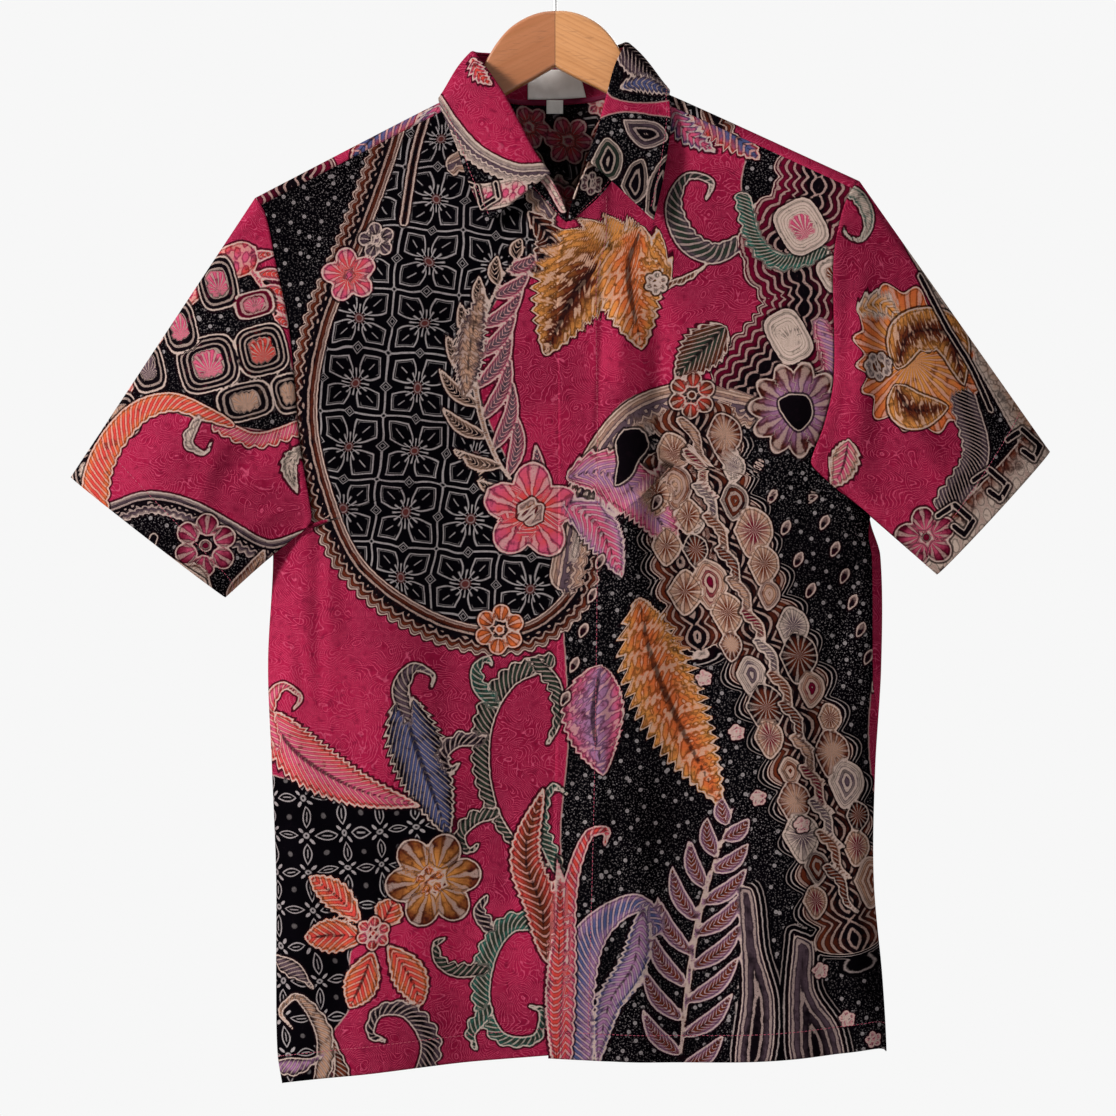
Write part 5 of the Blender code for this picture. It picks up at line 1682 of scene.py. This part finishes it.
label_patch = label_net(*LABEL, COLLAR_CLOTH + LABEL_PROUD)
label = slab("woven_label", label_patch, LABEL_WEAVE, 0.6)
tag_x = np.linspace(SIZE_TAG[0], SIZE_TAG[1], 14)
tag_z = np.linspace(SIZE_TAG[2], SIZE_TAG[3] + TAG_TUCK, 12)
tag_y = float(min(back_y(np.array(SIZE_TAG[:2]), SIZE_TAG[2]))) - TAG_PROUD
tag_net = np.stack([*np.meshgrid(tag_x, tag_z)], axis=-1)
tag_net = np.stack([tag_net[..., 0], tag_y + 0.25 * np.sin(tag_net[..., 0] * 0.6), tag_net[..., 1]], axis=-1)
size_tag = slab("woven_size_tag", tag_net, TAG_WEAVE, 0.5)
binding_patch = label_net(*BINDING, COLLAR_CLOTH + 0.4, 90, 4, 0.0)
binding = slab("maroon_neck_binding", binding_patch, MAROON_BINDING, 0.5)

finish_piece(hanger_wood(), "varnished_wood", "hanger_wood")
finish_piece(wire_hook(), "hook_steel", "hanger_hook")
finish_piece(label, "label_weave", "label")
finish_piece(size_tag, "tag_weave", "size_tag")
finish_piece(binding, "batik_collar_stand")

# ---- stitching: rows and columns are places on a piece's net
HEM_TURN = 20.0
HEM_SAMPLE = 30  # rows above the edge whose spacing gives the hem's depth
LEAF_INSET, LEAF_ENDS, LEAF_SAMPLES = 2.6, (3, 256), 240
STAND_ROW, STAND_ENDS, STAND_SAMPLES = 1.6, (3, 216), 200
CUFF_ROW, CUFF_ENDS, CUFF_SAMPLES = 84.0, (1, 186), 188
LABEL_ROW, LABEL_ENDS, LABEL_SAMPLES = 12.4, (1, 34), 36
FLY_ROWS_CUT = (8, 10)


def hem_rows(net):
    """The row of each column that lies the hem's depth above the edge."""
    step = np.linalg.norm(np.diff(net, axis=0), axis=2)[-HEM_SAMPLE:].mean(axis=0)
    columns = np.arange(net.shape[1])[2:-2]
    return net.shape[0] - 1 - HEM_TURN / step[columns], columns


def column_rows(net, edge_x, first, last):
    """The column of each row that lies at edge_x(z), from a first row to a last one."""
    rows = np.arange(first, last)
    columns = []
    for r in rows:
        x = net[r, :, 0]
        order = np.argsort(x)
        columns.append(np.interp(edge_x(net[r, :, 2].mean()), x[order], np.arange(len(x))[order]))
    return rows, np.array(columns)


def straight_row(row, ends, samples):
    return np.full(samples, row), np.linspace(*ends, samples)


front_hem_right, front_hem_left = (
    stitches("hem_stitch_" + node, nets[node], *hem_rows(nets[node]), RED_THREAD, flip=True)
    for node in ("front_right", "front_left")
)
back_hem = stitches("hem_stitch_back", nets["back"], *hem_rows(nets["back"]), RED_THREAD)
last_row = nets["front_left"].shape[0] - FLY_ROWS_CUT[1]
rows, columns = column_rows(nets["front_left"], lambda z: float(along(FRONT_EDGE, z)) + FLY_WIDTH,
                            FLY_ROWS_CUT[0], last_row)
fly_stitch = stitches("fly_stitch", nets["front_left"], rows, columns, RED_THREAD, flip=True)
leaf_row = nets["collar_leaf"].shape[0] - 1 - LEAF_INSET
leaf_stitch = stitches("collar_stitch", nets["collar_leaf"],
                       *straight_row(leaf_row, LEAF_ENDS, LEAF_SAMPLES), RED_THREAD)
stand_stitch = stitches("stand_stitch", nets["collar_stand"],
                        *straight_row(STAND_ROW, STAND_ENDS, STAND_SAMPLES), RED_THREAD, flip=True)
cuff_right, cuff_left = (
    stitches("cuff_stitch_" + side, nets["sleeve_" + side],
             *straight_row(CUFF_ROW, CUFF_ENDS, CUFF_SAMPLES), RED_THREAD, flip=side == RIGHT)
    for side in (RIGHT, LEFT)
)
label_stitch = stitches("label_stitch", label_patch, *straight_row(LABEL_ROW, LABEL_ENDS, LABEL_SAMPLES),
                        WHITE_THREAD, step=2.2, long=1.5, thick=0.3, flip=True)

# ==== 6. Studio: camera, lights and floor
FRAME_WIDTH = 0.826
FRAME_CENTRE = (0.0022, -0.035, -0.4712)
CAMERA_AWAY = 3.2
SENSOR = 36.0
FLOOR_Z, FLOOR_HALF = -1.5, 3.0
SKY_FADE = (-0.5, 0.6, 0.36, 0.93)  # from one depth in y to another, and the light's strength at each


def area_light(name, place, aim, size, watts, colour):
    light = bpy.data.lights.new(name, "AREA")
    light.shape = "RECTANGLE"
    light.size, light.size_y = size
    light.energy = watts
    light.color = colour
    obj = add_object(name, light)
    obj.location = place
    obj.rotation_euler = (Vector(aim) - Vector(place)).to_track_quat("-Z", "Y").to_euler()


lens = bpy.data.cameras.new("camera")
lens.sensor_width = SENSOR
lens.lens = SENSOR * CAMERA_AWAY / FRAME_WIDTH
camera = add_object("camera", lens)
camera.location = (FRAME_CENTRE[0], FRAME_CENTRE[1] - CAMERA_AWAY, FRAME_CENTRE[2])
camera.rotation_euler = (math.pi / 2, 0.0, 0.0)
bpy.context.scene.camera = camera

area_light("key", (-2.3, -1.5, 0.7), (0.0, 0.0, -0.45), (0.7, 0.7), 195, (1.0, 0.98, 0.96))
area_light("fill", (1.9, -2.0, 0.1), (0.0, 0.0, -0.5), (1.6, 1.6), 9, (0.97, 0.98, 1.0))
area_light("above", (0.0, -0.4, 1.6), (0.0, 0.0, -0.4), (1.6, 1.2), 7, (1.0, 1.0, 1.0))
area_light("behind", (0.6, 2.4, 0.6), (0.0, 0.0, -0.5), (1.6, 1.4), 30, (1.0, 1.0, 1.0))

world = bpy.data.worlds.new("studio")
world.use_nodes = True
# a pale sweep behind the shirt, and a dimmer room in front of it
room = world.node_tree
way = room.nodes.new("ShaderNodeTexCoord")
axes = room.nodes.new("ShaderNodeSeparateXYZ")
fade = room.nodes.new("ShaderNodeMapRange")
fade.interpolation_type = "SMOOTHSTEP"
for socket, value in zip(list(fade.inputs)[1:5], SKY_FADE):
    socket.default_value = value
room.links.new(way.outputs["Generated"], axes.inputs[0])
room.links.new(axes.outputs["Y"], fade.inputs[0])
room.links.new(fade.outputs[0], room.nodes["Background"].inputs["Strength"])
room.nodes["Background"].inputs["Color"].default_value = (1.0, 1.0, 1.0, 1.0)
bpy.context.scene.world = world
bpy.context.scene.view_settings.view_transform = "Standard"

floor_mesh = bmesh.new()
bmesh.ops.create_grid(floor_mesh, x_segments=4, y_segments=4, size=FLOOR_HALF)
floor_data = bpy.data.meshes.new("floor")
floor_mesh.to_mesh(floor_data)
floor_mesh.free()
floor_data.materials.append(plain_floor("floor_paper"))
floor = add_object("floor", floor_data)
floor.location = (0.0, 0.0, FLOOR_Z)

bpy.context.view_layer.update()
